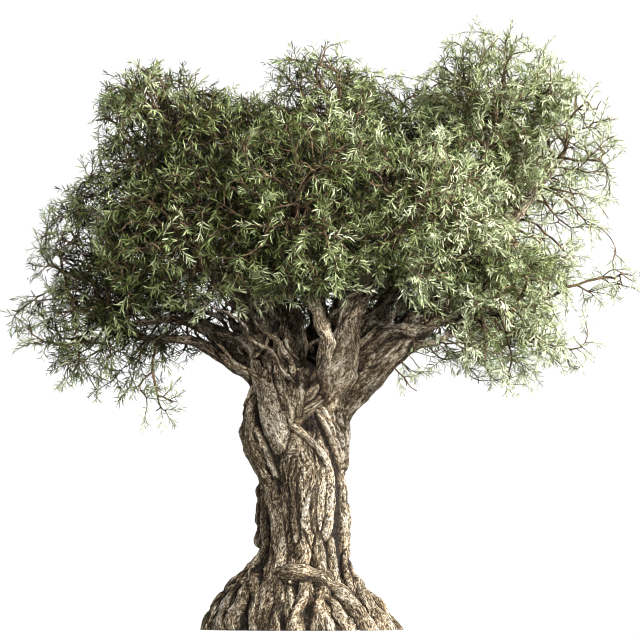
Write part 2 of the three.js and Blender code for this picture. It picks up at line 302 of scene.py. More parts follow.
class Slot(Enum):
    """The record's material slots."""

    BARK = "bark"
    LEAF = "leaf"


Rgb = tuple[int, int, int]


def linear(red: int, green: int, blue: int) -> tuple[float, float, float, float]:
    """A screen colour of 0 to 255 as a linear colour with alpha 1."""
    shares = (value / 255.0 for value in (red, green, blue))
    return (*(s / 12.92 if s <= 0.04045 else ((s + 0.055) / 1.055) ** 2.4 for s in shares), 1.0)


class Painter:
    """Wires a material's nodes: most methods add one node and return its output socket."""

    COLOUR_INPUTS = (0, 6, 7)  # the places of a Mix node's share and its two colours
    COLOUR_OUTPUT = 2

    def __init__(self, name: str) -> None:
        """Starts a node material with its Principled shader."""
        self.material = bpy.data.materials.new(name)
        self.material.use_nodes = True
        self.tree = self.material.node_tree

    def feed(self, node: bpy.types.Node, key: str | int, value: object) -> None:
        """Links a socket to one of a node's inputs, or sets the input to a plain value."""
        if isinstance(value, Socket):
            self.tree.links.new(value, node.inputs[key])
        else:
            node.inputs[key].default_value = value

    def coat(self, **inputs: object) -> Material:
        """Sets or links the shader's inputs, named as add names them, and returns the material."""
        for name, value in inputs.items():
            self.feed(self.tree.nodes["Principled BSDF"], name.replace("_", " "), value)
        return self.material

    def add(self, kind: str, **inputs: object) -> bpy.types.Node:
        """Adds a node and sets or links its inputs.

        Args:
            kind: the node's type.
            **inputs: each input's name, with underscores for spaces, and a value or a socket to link.

        Returns:
            The new node.
        """
        node = self.tree.nodes.new(kind)
        for name, value in inputs.items():
            self.feed(node, name.replace("_", " "), value)
        return node

    def attribute(self, name: str, output: str) -> Socket:
        """Reads an attribute of the mesh."""
        node = self.add("ShaderNodeAttribute")
        node.attribute_name = name
        return node.outputs[output]

    def place(self) -> Socket:
        """Object coordinates."""
        return self.add("ShaderNodeTexCoord").outputs["Object"]

    def noise(self, at: Socket, scale: Triple, detail: float, rough: float) -> Socket:
        """Noise of the given cells a metre along each axis.

        Args:
            at: the coordinates.
            scale: cells a metre along each axis.
            detail: how many finer layers it has.
            rough: how strong the finer layers are.

        Returns:
            The noise, from 0 to 1.
        """
        stretched = self.add("ShaderNodeMapping", Vector=at, Scale=scale).outputs["Vector"]
        node = self.add("ShaderNodeTexNoise", Vector=stretched, Scale=1.0, Detail=detail, Roughness=rough)
        return node.outputs["Fac"]

    def math(self, kind: str, *values: object) -> Socket:
        """One step of arithmetic on numbers or sockets."""
        node = self.tree.nodes.new("ShaderNodeMath")
        node.operation = kind
        for i, value in enumerate(values):
            self.feed(node, i, value)
        return node.outputs[0]

    def share(
        self, value: Socket, low: float, high: float, start: float = 0.0, end: float = 1.0
    ) -> Socket:
        """Maps a value from low..high to start..end, held at both ends."""
        limits = {"From_Min": low, "From_Max": high, "To_Min": start, "To_Max": end}
        return self.add("ShaderNodeMapRange", Value=value, **limits).outputs["Result"]

    def ramp(self, value: Socket, stops: list[tuple[float, Rgb]]) -> Socket:
        """Turns a value into a colour, by stops of place and screen colour.

        Args:
            value: the value.
            stops: each stop's place and colour.

        Returns:
            The colour.
        """
        node = self.add("ShaderNodeValToRGB", Fac=value)
        elements = node.color_ramp.elements
        while len(elements) < len(stops):
            elements.new(0.5)
        for element, (place, colour) in zip(elements, stops):
            element.position = place
            element.color = linear(*colour)
        return node.outputs["Color"]

    def blend(self, share: object, first: object, second: object, kind: str = "MIX") -> Socket:
        """Mixes two colours by a share.

        Args:
            share: how much of the second one is in the mix.
            first: the first colour.
            second: the second colour.
            kind: how they are mixed.

        Returns:
            The mixed colour.
        """
        node = self.tree.nodes.new("ShaderNodeMix")
        node.data_type, node.blend_type = "RGBA", kind
        for place, value in zip(self.COLOUR_INPUTS, (share, first, second)):
            self.feed(node, place, value)
        return node.outputs[self.COLOUR_OUTPUT]


@dataclass(frozen=True)
class BarkFinish:
    """Weathered olive bark: dark in its furrows, tan on its flanks and bone-pale on its ridges.

    The colour follows the relief that the mesh carries, roughened by fibres that run along the limb: its dark
    furrows are partly the bark's own colour and partly painted shade, and its pale ridges and crests partly
    its own colour and partly painted highlight. Dark specks and short cracks are strewn over it, and broad
    patches turn it grey or brown. stops are the reliefs of the four main colours, cells are counted a metre
    round and along the limb, and fibre_gain says how much the fibres roughen the colour.
    """

    name: str
    furrow: Rgb = (20, 12, 5)
    flank: Rgb = (116, 100, 76)
    ridge: Rgb = (200, 190, 170)
    crest: Rgb = (232, 227, 216)
    stops: tuple[float, float, float, float] = (0.10, 0.42, 0.68, 0.95)
    grey: Rgb = (196, 194, 188)
    brown: Rgb = (226, 206, 178)
    tinting: float = 0.55
    speck: Rgb = (30, 22, 14)
    fibre_cells: Triple = (130.0, 130.0, 44.0)
    crack_cells: Triple = (130.0, 130.0, 66.0)
    patch_cells: Triple = (5.0, 5.0, 3.2)
    fibre_gain: float = 1.9
    bump_strength: float = 0.85
    bump_depth: float = 0.006
    roughness: float = 0.88
    specular: float = 0.3

    def build(self) -> Material:
        """Builds the node material."""
        paint = Painter(self.name)
        grain = paint.attribute("grain", "Vector")
        relief = paint.attribute("relief", "Fac")
        fibre = paint.noise(grain, self.fibre_cells, detail=6.0, rough=0.76)
        crack = paint.noise(grain, self.crack_cells, detail=4.0, rough=0.68)
        roughened = paint.math("MULTIPLY_ADD", fibre, self.fibre_gain, -0.5 * self.fibre_gain)
        height = paint.math("ADD", relief, roughened)
        colours = (self.furrow, self.flank, self.ridge, self.crest)
        # Partly painted shade and highlight: low relief in furrows and folds turns dark and high ridges pale,
        # along with the bark's own colours.
        colour = paint.ramp(height, list(zip(self.stops, colours)))
        clean = paint.share(crack, 0.40, 0.49, 0.06, 1.0)
        patch = paint.noise(paint.place(), self.patch_cells, detail=5.0, rough=0.62)
        hue = paint.blend(paint.share(patch, 0.38, 0.62), linear(*self.grey), linear(*self.brown))
        tinted = paint.blend(self.tinting, colour, hue, "MULTIPLY")
        specked = paint.blend(clean, linear(*self.speck), tinted)
        bumps = paint.math("ADD", fibre, paint.math("MULTIPLY", clean, 0.9))
        bump = paint.add(
            "ShaderNodeBump", Height=bumps, Strength=self.bump_strength, Distance=self.bump_depth
        )
        return paint.coat(
            Base_Color=specked,
            Normal=bump.outputs["Normal"],
            Roughness=self.roughness,
            Specular_IOR_Level=self.specular,
        )


@dataclass(frozen=True)
class TwigFinish:
    """Thin bark: plain grey-brown with a soft mottle of so many cells a metre, on Object coordinates."""

    name: str
    dark: Rgb = (36, 26, 15)
    pale: Rgb = (124, 101, 74)
    cells: float = 22.0
    roughness: float = 0.85
    specular: float = 0.3

    def build(self) -> Material:
        """Builds the node material."""
        paint = Painter(self.name)
        mottle = paint.add("ShaderNodeTexNoise", Vector=paint.place(), Scale=self.cells, Detail=3.0)
        colour = paint.ramp(mottle.outputs["Fac"], [(0.35, self.dark), (0.68, self.pale)])
        return paint.coat(
            Base_Color=colour, Roughness=self.roughness, Specular_IOR_Level=self.specular
        )


@dataclass(frozen=True)
class LeafFinish:
    """A leathery olive leaf in one plain tint, with a low sheen."""

    name: str
    tint: Rgb
    roughness: float = 0.42
    specular: float = 0.32

    def build(self) -> Material:
        """Builds the node material."""
        return Painter(self.name).coat(
            Base_Color=linear(*self.tint), Roughness=self.roughness, Specular_IOR_Level=self.specular
        )


# ---- The trunk ----


@dataclass(frozen=True)
class Bark:
    """The relief of old bark, read in the grain's own coordinates.

    Each layer has a width across the grain, a length along it and a height, in metres. Flutes and lumps swell
    the limb, furrows run along it, thin ridges stand between them, and crumbs roughen all. wander is how far
    the grain strays sideways.
    """

    flute: Triple = (0.095, 0.50, 0.016)
    lump: Triple = (0.10, 0.15, 0.012)
    furrow: Triple = (0.034, 0.22, 0.0080)
    ridge: Triple = (0.016, 0.090, 0.0048)
    crumb: Triple = (0.010, 0.017, 0.0024)
    wander: float = 0.020

    def read(self, grain: Array, size: float, seed: int) -> tuple[Array, Array]:
        """Height and relief at each point.

        The place is first bent sideways by slow noise, so that the grain wanders. Each layer is noise
        stretched along the limb. Furrows take the size of the noise, so that their beds are sharp, and
        ridges take one less it, so that their crests are.

        Args:
            grain: points of shape (n, 3): across, across and along the limb, in metres.
            size: how large the bark's features are, as a share of the trunk's.
            seed: which noise to use.

        Returns:
            The height over the limb's plain surface in metres, and the relief from 0 to 1.
        """
        noise = Noise(seed)

        def layer(sizes: Triple, at: Array) -> Array:
            """Noise stretched to a layer's width and length."""
            width, length, _ = sizes
            return noise(at / (np.array([width, width, length]) * size))

        sway = layer((0.12, 0.20, 0.0), grain + 3.7)
        other = layer((0.10, 0.16, 0.0), grain - 8.1)
        bent = grain + np.stack([sway, other, 0.0 * sway], axis=1) * self.wander * size
        flutes = layer(self.flute, bent + 1.9)
        lumps = layer(self.lump, grain)
        furrows = np.clip(np.abs(layer(self.furrow, bent)) * 2.4 - 0.8, -1.0, 1.0)
        ridges = 0.8 - 2.4 * np.abs(layer(self.ridge, bent + 11.3))
        crumbs = layer(self.crumb, bent - 5.9)
        height = self.flute[2] * flutes + self.lump[2] * lumps + self.furrow[2] * furrows
        height += self.ridge[2] * ridges + self.crumb[2] * crumbs
        relief = 0.47 + 0.17 * furrows + 0.19 * ridges + 0.20 * crumbs + 0.20 * flutes + 0.12 * lumps
        return height * size, np.clip(relief, 0.0, 1.0)


@dataclass
class Limb:
    """One limb of the trunk or crown as rings: its middle line, its radii and the way that each ring faces.

    Attributes:
        name: the limb's own name.
        line: the middle line, of shape (rings, 3).
        radius: the radius on each ring.
        outward: the way each ring's first point faces.
        seed: which noise its bark uses.
        twist: how far the grain turns round the limb, in radians a metre.
        melt: how far off a neighbour starts to run together with it.
    """

    name: str
    line: Array
    radius: Array
    outward: Array
    seed: int
    twist: float = 0.0
    melt: float = 0.045

    @property
    def length(self) -> Array:
        """How far along the limb each ring lies."""
        return run_along(self.line)


class Company:
    """All the limbs as a cloud of round spots, from which each limb learns how near the others are."""

    BATCH = 6000

    def __init__(self, limbs: list[Limb], bole: Bole, every: float = 0.025) -> None:
        """Takes spots along every limb's middle line.

        Args:
            limbs: the limbs.
            bole: the trunk's skin.
            every: the wanted distance between spots.
        """
        self.bole = bole
        spots, radii, owners = [], [], []
        for limb in limbs:
            run = limb.length
            at = np.linspace(0.0, run[-1], max(3, int(run[-1] / every)))
            spots.append(np.stack([np.interp(at, run, limb.line[:, i]) for i in range(3)], axis=1))
            radii.append(np.interp(at, run, limb.radius))
            owners.append(np.full(len(at), limb.seed))
        self.spots = np.concatenate(spots).astype(np.float32)
        self.radii = np.concatenate(radii).astype(np.float32)
        self.owners = np.concatenate(owners)

    def gap(self, points: Array, owner: int) -> tuple[Array, Array]:
        """How far each point lies from the nearest other limb's surface, negative inside it, and which way.

        It is the least of the distance to each spot less the spot's radius.

        Args:
            points: an array of shape (n, 3).
            owner: the seed of the limb that the points are on, which doesn't count.

        Returns:
            The gaps, of shape (n,), and the unit vectors from the nearest spots to the points.
        """
        low, high = points.min(axis=0) - 0.3, points.max(axis=0) + 0.3
        near = (self.owners != owner) & np.all((self.spots > low) & (self.spots < high), axis=1)
        spots, radii = self.spots[near], self.radii[near]
        if not len(spots):
            return self.bole.gap(points)
        found, nearest = np.empty(len(points)), np.empty(len(points), int)
        for start in range(0, len(points), self.BATCH):
            part = points[start : start + self.BATCH].astype(np.float32)
            clear = np.sqrt(np.maximum(squared_gaps(part, spots), 0.0)) - radii
            best = clear.argmin(axis=1)
            nearest[start : start + self.BATCH] = best
            found[start : start + self.BATCH] = clear[np.arange(len(part)), best]
        skin, out = self.bole.gap(points)
        off = np.where((skin < found)[:, None], out, unit(points - spots[nearest]))
        return np.minimum(found, skin), off


@dataclass
class LimbSkin:
    """Lays a bark skin over a limb: a round profile carried along its middle line.

    Attributes:
        spacing: the wanted distance between the mesh's points.
        bark: the relief laid on it.
        bark_radius: the limb radius at which the bark is full size.
        bark_sizes: the smallest and largest that the limb's share of that radius counts as.
        crease_shade_reach: how far from a neighbour the painted shade between two limbs reaches.
        darkening: the share of the relief that this painted shade takes away.
        fold: the cosine between a limb's skin and the way off its neighbour at which a fold's painted shade
            starts to thin out, and that at which it ends.
        sides: the fewest and most points round a ring.
    """

    spacing: float = 0.0085
    bark: Bark = field(default_factory=Bark)
    bark_radius: float = 0.085
    bark_sizes: Pair = (0.30, 1.2)
    crease_shade_reach: float = 0.040
    darkening: float = 0.85
    fold: Pair = (0.55, 0.92)
    sides: tuple[int, int] = (10, 110)

    def cover(self, limb: Limb, company: Company) -> Shape:
        """The skin over one limb.

        A point lies at middle + r (cos(a) outward + sin(a) side), where a is its angle from the side that
        faces out, side is the limb's heading crossed with outward, and r is the limb's radius plus the bark's
        height, drawn in over the last stretch at each end as a quarter circle is. Where another
        limb is within the melting distance m, at a gap g, the skin swells by m/4 (1 - g/m)^2, so that the
        two run together, and where they meet in a fold the relief is darkened as painted shade.

        Args:
            limb: the limb.
            company: all the limbs.

        Returns:
            The closed surface with its grain and relief.
        """
        heading = unit(np.gradient(limb.line, axis=0))
        out = across(limb.outward, heading)
        side = np.cross(heading, out)
        length = limb.length
        radius = limb.radius
        count = len(limb.line)
        sides = int(np.clip(2.0 * math.pi * radius.max() / self.spacing, *self.sides))
        angle = np.arange(sides) * (2.0 * math.pi / sides)
        near = np.minimum(length, length[-1] - length) / np.maximum(radius, 1e-6)
        drawn = np.sqrt(np.clip(1.0 - (1.0 - np.clip(near, 0.0, 1.0)) ** 2, 0.002, 1.0))
        spoke = np.cos(angle)[None, :, None] * out[:, None] + np.sin(angle)[None, :, None] * side[:, None]
        turned = angle[None] + limb.twist * length[:, None]
        typical = radius.mean() * (radius / radius.mean()) ** 0.3
        around = np.stack([np.cos(turned), np.sin(turned)], axis=-1) * typical[:, None, None]
        run = np.broadcast_to(length[:, None, None], (count, sides, 1))
        grain = np.concatenate([around, run], axis=-1).reshape(-1, 3) + limb.seed * GRAIN_SHIFT
        size = float(np.clip(radius.mean() / self.bark_radius, *self.bark_sizes)) ** 0.6
        height, relief = self.bark.read(grain, size, limb.seed)
        plain = limb.line[:, None] + (radius * drawn)[:, None, None] * spoke
        gap, off = company.gap(plain.reshape(-1, 3), limb.seed)
        gap = np.maximum(gap, 0.0)
        swell = 0.25 * limb.melt * np.clip(1.0 - gap / limb.melt, 0.0, 1.0) ** 2
        facing = np.sum(off * unit(spoke).reshape(-1, 3), axis=1)
        # Painted shade: the relief, and with it the bark's colour, is darkened in the folds where this limb
        # meets another.
        crease_shade = (1.0 - smoothstep(facing, *self.fold)) * (1.0 - smoothstep(gap, 0.0, self.crease_shade_reach))
        relief = relief * (1.0 - self.darkening * crease_shade)
        reach = radius[:, None] + (height + swell).reshape(count, sides)
        rings = limb.line[:, None] + (reach * drawn[:, None])[:, :, None] * spoke
        points, quads, tris = capped_tube(rings)
        ends = np.array([[0.0, 0.0, length[0]], [0.0, 0.0, length[-1]]]) + limb.seed * GRAIN_SHIFT
        grain, relief = np.concatenate([grain, ends]), np.append(relief, [CAP_RELIEF, CAP_RELIEF])
        return Shape(points, quads, tris, grain, relief)


@dataclass(frozen=True)
class Strand:
    """One twisted strand of the trunk, or a root: sizes in millimetres and degrees.

    It climbs from foot to head on the trunk's outer surface. turn lists its azimuth and thick its radius at
    even steps, and tuck says how many radii its middle lies inside that surface. rise above 1 makes it climb
    fast at first, and sink drops its foot.
    """

    foot: float
    head: float
    turn: tuple[float, ...]
    thick: tuple[float, ...]
    tuck: float = 1.0
    rise: float = 1.0
    sink: float = 0.0


@dataclass(frozen=True)
class TrunkForm:
    """The form that roots and strands climb: a waist, a bell-shaped flare below and a leaning shoulder."""

    waist: float = 0.300
    flare_gain: float = 0.362
    flare_height: float = 0.340
    flare_power: float = 2.2
    shoulder_gain: float = 0.150
    shoulder_start: float = 0.950
    fork: float = 1.760
    lean: float = 0.090
    lean_start: float = 1.380

    def outer(self, z: Array) -> Array:
        """Outer radius at height z: waist, plus a falling bell of the height, plus a smooth shoulder."""
        bell = np.exp(-((np.maximum(z, 0.0) / self.flare_height) ** self.flare_power))
        shoulder = smoothstep(z, self.shoulder_start, self.fork)
        return self.waist + self.flare_gain * bell + self.shoulder_gain * shoulder

    def axis_x(self, z: Array) -> Array:
        """How far the axis stands to the right at height z."""
        return self.lean * smoothstep(z, self.lean_start, self.fork)

    def middle(self, strand: Strand, t: Array) -> Array:
        """The middle line of a strand at t from 0 at its foot to 1 at its head, of shape (n, 3).

        Args:
            strand: the strand.
            t: where the line is read.

        Returns:
            The points of the line.
        """
        climb = 1.0 - (1.0 - t) ** strand.rise
        z = (strand.foot + (strand.head - strand.foot) * climb) * MM
        azimuth = np.radians(along_list(strand.turn, t))
        out = self.outer(z) - strand.tuck * along_list(strand.thick, t) * MM
        line = np.stack([self.axis_x(z) + out * np.cos(azimuth), out * np.sin(azimuth), z], axis=-1)
        line[:, 2] -= strand.sink * MM * (1.0 - t)
        return line


@dataclass(frozen=True)
class Ridge:
    """One strand in the bole's skin: sizes in millimetres and degrees.

    It runs from bottom to top. wide lists its half width at even steps of that height and high says how far
    it stands out. Its middle is listed at even steps too: turn gives azimuths, and across, for strands on the
    tree's face, how far right of the middle it is seen. pale lightens its bark, and a low edge flattens it.
    """

    bottom: float
    top: float
    wide: tuple[float, ...]
    high: float
    turn: tuple[float, ...] = ()
    across: tuple[float, ...] = ()
    pale: float = 0.0
    edge: float = 0.6


@dataclass(frozen=True)
class Knot:
    """A place where the grain runs in rings: its middle's azimuth in degrees, its height and radius in mm."""

    turn: float
    height: float
    radius: float


RIDGES = (
    Ridge(
        1190, 1850, (60, 100, 106, 100, 92), 66, across=(-126, -161, -203, -238, -266), edge=0.5, pale=0.08
    ),
    Ridge(
        0,
        1640,
        (84, 84, 84, 84, 80, 74, 72, 74, 80, 92, 98, 84),
        62,
        across=(-238, -224, -192, -168, -147, -154, -196, -228, -296, -350, -356, -322),
    ),
    Ridge(1030, 1400, (26, 34, 34, 26), 62, across=(-161, -208, -258, -300)),
    Ridge(540, 1360, (130, 166, 176, 176, 120), 60, across=(25, 42, 49, 46, 21), edge=0.34),
    Ridge(560, 1210, (54, 62, 58, 48, 36), 64, across=(-7, -25, -30, -46, -28)),
    Ridge(640, 1010, (36, 44, 34), 65, across=(98, 84, 105)),
    Ridge(180, 640, (46, 44, 34), 52, across=(270, 238, 214), pale=0.06),
    Ridge(160, 600, (40, 38, 30), 50, across=(345, 315, 300), pale=0.10),
    Ridge(0, 430, (70, 46, 30), 56, turn=(-162, -158, -166)),
    Ridge(0, 380, (66, 48, 30), 56, turn=(-140, -146, -150)),
    Ridge(0, 520, (60, 46, 34), 52, turn=(-107, -102, -96)),
    Ridge(0, 400, (66, 48, 30), 56, turn=(-92, -96, -104)),
    Ridge(0, 460, (70, 50, 34), 58, turn=(-74, -80, -90)),
    Ridge(0, 420, (60, 44, 30), 52, turn=(-58, -52, -60)),
    Ridge(0, 360, (60, 44, 30), 52, turn=(-42, -46, -38)),
    Ridge(
        600, 1420, (52, 56, 56, 52, 46, 36, 30), 72, across=(168, 190, 206, 205, 178, 77, -56), pale=0.10
    ),
    Ridge(380, 1080, (58, 56, 52, 50, 36), 50, across=(322, 300, 298, 294, 270)),
    Ridge(0, 1120, (84, 66, 52, 46, 34), 46, turn=(-24, -15, -12, -16, -12), pale=0.06),
    Ridge(1040, 1520, (12, 20, 22, 22, 20), 44, across=(296, 262, 222, 172, 120), pale=0.12),
    Ridge(1060, 1530, (12, 18, 20, 20, 20), 52, across=(306, 282, 248, 204, 156), pale=0.16),
    Ridge(1070, 1540, (12, 18, 20, 20, 20), 46, across=(318, 302, 276, 240, 196), pale=0.18),
    Ridge(1080, 1550, (12, 16, 18, 19, 19), 54, across=(330, 318, 300, 274, 238), pale=0.18),
    Ridge(1060, 1540, (16, 22, 24, 24), 48, turn=(-20, -24, -30, -36), pale=0.18),
    Ridge(1040, 1520, (26, 34, 32, 28), 40, turn=(-4, -6, -9, -12), pale=0.18),
    Ridge(
        1390, 1740, (40, 44, 46, 46, 44, 40), 34, across=(-40, 10, 84, 190, 315, 434), pale=0.06, edge=0.4
    ),
    Ridge(1500, 1870, (44, 52, 54, 52, 48), 30, across=(24, 70, 130, 235, 380), edge=0.4),
    Ridge(1640, 1885, (44, 50, 50, 44), 26, across=(70, 120, 190, 270), edge=0.4),
    Ridge(1400, 1860, (26, 28, 28, 28, 28), 54, across=(-56, -60, -77, -98, -126), pale=0.10),
    Ridge(1440, 1860, (26, 30, 30, 30, 30), 46, across=(-7, 7, 10, 0, -21)),
    Ridge(1480, 1860, (22, 26, 26, 26), 44, across=(-112, -133, -154, -175)),
    Ridge(330, 720, (50, 58, 44), 62, across=(0, 21, 7)),
    Ridge(300, 700, (46, 52, 40), 58, across=(161, 140, 119)),
    Ridge(0, 1800, (100, 84, 76, 80, 84, 80), 48, turn=(-170, -166, -162, -168, -177, -182)),
    Ridge(0, 1880, (130, 96, 90, 96, 100, 92), 54, turn=(20, 12, 26, 40, 34, 20)),
    Ridge(0, 1880, (130, 96, 92, 96, 100, 92), 54, turn=(58, 64, 50, 62, 84, 96)),
    Ridge(0, 1880, (130, 96, 94, 92, 96, 92), 50, turn=(104, 92, 98, 82, 70, 58)),
    Ridge(0, 1880, (130, 96, 92, 96, 100, 92), 54, turn=(138, 132, 118, 124, 142, 150)),
    Ridge(0, 1880, (130, 96, 88, 90, 92, 88), 50, turn=(176, 170, 158, 150, 128, 118)),
    Ridge(300, 1760, (36, 42, 38, 46, 40), 64, turn=(40, 44, 30, 16, 8), pale=0.10),
    Ridge(180, 1500, (40, 46, 42, 36, 30), 62, turn=(80, 76, 70, 66, 58)),
    Ridge(420, 1820, (32, 40, 46, 42, 36), 64, turn=(112, 104, 102, 106, 118), pale=0.10),
    Ridge(140, 1300, (36, 48, 44, 34), 62, turn=(156, 146, 136, 132)),
    Ridge(900, 1850, (30, 40, 42, 36), 62, turn=(168, 178, 184, 190), pale=0.08),
    Ridge(0, 900, (60, 50, 44, 32), 54, turn=(-2, 4, 2, 8)),
)

KNOTS = (
    Knot(-98, 1270, 62),
    Knot(-38, 1600, 60),
    Knot(70, 1010, 72),
    Knot(150, 720, 58),
    Knot(8, 620, 46),
)


@dataclass
class Bole:
    """The trunk's skin: one surface over azimuth and height, on which strands lie fused together.

    The outlines are listed in millimetres at even steps from the ground to the outline's top: how far the
    bare bole reaches to the left, to the right, and to the front and back. It closes over from fork to top.
    fuse says how softly strands run together, groove how deep the grooves between them are, and crease how
    near in height two strands are where one starts.
    """

    left: tuple[float, ...] = (640, 562, 432, 290, 213, 225, 228, 236, 312, 350, 332, 288, 262)
    right: tuple[float, ...] = (668, 528, 360, 292, 290, 302, 288, 268, 290, 298, 296, 350, 400)
    depth: tuple[float, ...] = (650, 570, 440, 345, 310, 298, 292, 292, 308, 322, 330, 328, 312)
    outline_top: float = 1.80
    fork: float = 1.74
    top: float = 1.90
    rows: int = 226
    sides: int = 410
    fuse: float = 0.007
    groove: float = 0.008
    crease: float = 0.013
    bark: Bark = field(
        default_factory=lambda: Bark(
            flute=(0.070, 0.34, 0.012),
            lump=(0.080, 0.10, 0.010),
            furrow=(0.028, 0.13, 0.0075),
            ridge=(0.0135, 0.055, 0.0052),
            crumb=(0.0095, 0.013, 0.0032),
        )
    )

    def plain(self, angle: Array, z: Array) -> Array:
        """The bare bole's radius: its side reach times cos^2 of the azimuth plus its depth times sin^2."""
        t = z / self.outline_top
        side = np.where(np.cos(angle) > 0.0, along_list(self.right, t), along_list(self.left, t))
        return MM * (side * np.cos(angle) ** 2 + along_list(self.depth, t) * np.sin(angle) ** 2)

    def middle(self, ridge: Ridge, z: Array) -> Array:
        """The azimuth of a ridge's middle at each height.

        A place across the face is turned into the azimuth at which the bole shows it, minus the arc cosine
        of the place over the radius, in a few rounds because the radius depends on the azimuth.

        Args:
            ridge: the ridge.
            z: the heights.

        Returns:
            The azimuths in radians.
        """
        t = (z - ridge.bottom * MM) / ((ridge.top - ridge.bottom) * MM)
        if ridge.turn:
            return np.radians(along_list(ridge.turn, t))
        place = along_list(ridge.across, t) * MM
        angle = np.full(z.shape, -math.pi / 2.0)
        for _ in range(6):
            reach = self.plain(angle, z) + 0.5 * ridge.high * MM
            angle = -np.arccos(np.clip(place / reach, -0.985, 0.985))
        return angle

    def bump(self, ridge: Ridge, angle: Array, z: Array) -> tuple[Array, Array]:
        """How far one ridge stands out of the bare bole, and how far off its middle each point is.

        With u the distance from its middle over its half width, it is the ridge's height times 1 - u^2 to
        the power of its edge, drawn in at its ends as a quarter circle is.

        Args:
            ridge: the ridge.
            angle: azimuths, of shape (sides,).
            z: heights, of shape (rows,).

        Returns:
            Both measures in metres, of shape (rows, sides).
        """
        middle = self.middle(ridge, z)
        radius = self.plain(middle, z)
        slope = np.gradient(middle, z) * radius
        turn = wrapped(angle[None] - middle[:, None])
        away = turn * radius[:, None] / np.sqrt(1.0 + slope**2)[:, None]
        t = (z - ridge.bottom * MM) / ((ridge.top - ridge.bottom) * MM)
        wide = along_list(ridge.wide, t) * MM
        inside = ridge.top * MM - z
        if ridge.bottom > 0:
            inside = np.minimum(z - ridge.bottom * MM, inside)
        drawn = np.sqrt(1.0 - (1.0 - np.clip(inside / (1.3 * wide), 0.0, 1.0)) ** 2)
        profile = np.clip(1.0 - (away / wide[:, None]) ** 2, 0.0, 1.0) ** ridge.edge
        return ridge.high * MM * profile * drawn[:, None], away

    @cached_property
    def lattice(self) -> tuple[Array, Array, Array, Array]:
        """The bole's skin on a grid of heights and azimuths.

        The ridges' bumps are fused as f log(sum(exp(bump / f))) with a small length f. The grain follows
        the ridge that stands out most, or runs round a knot. Where two ridges are equally high there is a
        groove. The relief is darkened as painted shade in those grooves and on the bare bole between ridges.

        Returns:
            The heights of the rows, and for each point its radius, its grain's coordinates and its relief.
        """
        dome = np.sin(np.linspace(0.0, math.pi / 2.0, 16))[1:] * (self.top - self.fork)
        z = np.concatenate([np.linspace(0.0, self.fork, self.rows), self.fork + dome * 0.999])
        angle = np.linspace(-math.pi, math.pi, self.sides, endpoint=False)
        flat = np.zeros((len(z), self.sides))
        bumps, places = zip(*(self.bump(ridge, angle, z) for ridge in RIDGES))
        bumps, places = np.stack([flat, *bumps]), np.stack([flat, *places])
        order = np.argsort(bumps, axis=0)
        best = order[-1:]
        highest = np.take_along_axis(bumps, best, 0)[0]
        second = np.take_along_axis(bumps, order[-2:-1], 0)[0]
        fused = highest + self.fuse * np.log(np.exp((bumps - highest) / self.fuse).sum(axis=0))
        plain = self.plain(angle[None], z[:, None])
        around = angle[None] * plain
        aside = np.where(best[0] > 0, np.take_along_axis(places, best, 0)[0], around)
        owner = best[0] * GRAIN_SHIFT
        run = z[:, None] + flat
        for i, knot in enumerate(KNOTS):
            side = wrapped(angle[None] - math.radians(knot.turn)) * plain
            rise = run - knot.height * MM
            far = np.hypot(side, 0.8 * rise)
            within = far < knot.radius * MM
            aside = np.where(within, far, aside)
            owner = np.where(within, 90.0 + i, owner)
            spun = np.where(within, np.arctan2(rise, side) * 0.06, z[:, None])
            run = np.where(within, spun, run)
        grain = np.stack([aside, owner, run], axis=-1)
        height, relief = self.bark.read(grain.reshape(-1, 3), 1.0, SEED)
        crease = 1.0 - smoothstep(highest - second, 0.0, self.crease)
        pale = np.array([0.0, *(ridge.pale for ridge in RIDGES)])[best[0]]
        # Painted shade: the relief, and with it the bark's colour, is lowered on the bare bole where no ridge
        # stands out and in the grooves where two ridges meet.
        relief = relief.reshape(flat.shape) * (0.42 + 0.58 * smoothstep(highest, 0.0, 0.055)) + pale
        relief = np.clip(relief * (1.0 - 0.70 * crease), 0.0, 1.0)
        closed = np.clip((z - self.fork) / (self.top - self.fork), 0.0, 1.0)
        closing = np.sqrt(np.maximum(1.0 - closed**2, 0.004))
        radius = (plain + fused - self.groove * crease + height.reshape(flat.shape)) * closing[:, None]
        return z, radius, grain, relief

    def build(self) -> Shape:
        """The bole's closed surface: each grid point stands off the upright axis by its radius."""
        z, radius, grain, relief = self.lattice
        angle = np.linspace(-math.pi, math.pi, self.sides, endpoint=False)
        height = 0.0 * radius + z[:, None]
        rings = np.stack([radius * np.cos(angle), radius * np.sin(angle), height], axis=-1)
        points, quads, tris = capped_tube(rings)
        ends = np.array([[0.0, 0.0, 0.0], [0.0, 0.0, self.top]])
        grain = np.concatenate([grain.reshape(-1, 3), ends])
        return Shape(points, quads, tris, grain, np.append(relief, [CAP_RELIEF, CAP_RELIEF]))

    def gap(self, points: Array) -> tuple[Array, Array]:
        """How far each point lies outside the bole, and the way straight out from the axis there.

        Args:
            points: an array of shape (n, 3).

        Returns:
            The gaps, negative inside, and the unit vectors.
        """
        z, radius, _, _ = self.lattice
        row = np.clip(np.searchsorted(z, points[:, 2]), 0, len(z) - 1)
        turn = (np.arctan2(points[:, 1], points[:, 0]) + math.pi) / (2.0 * math.pi)
        column = (turn * self.sides).astype(int) % self.sides
        out = np.hypot(points[:, 0], points[:, 1])
        flat = points * np.array([1.0, 1.0, 0.0])
        return np.where(points[:, 2] > self.top, 1.0, out - radius[row, column]), unit(flat)


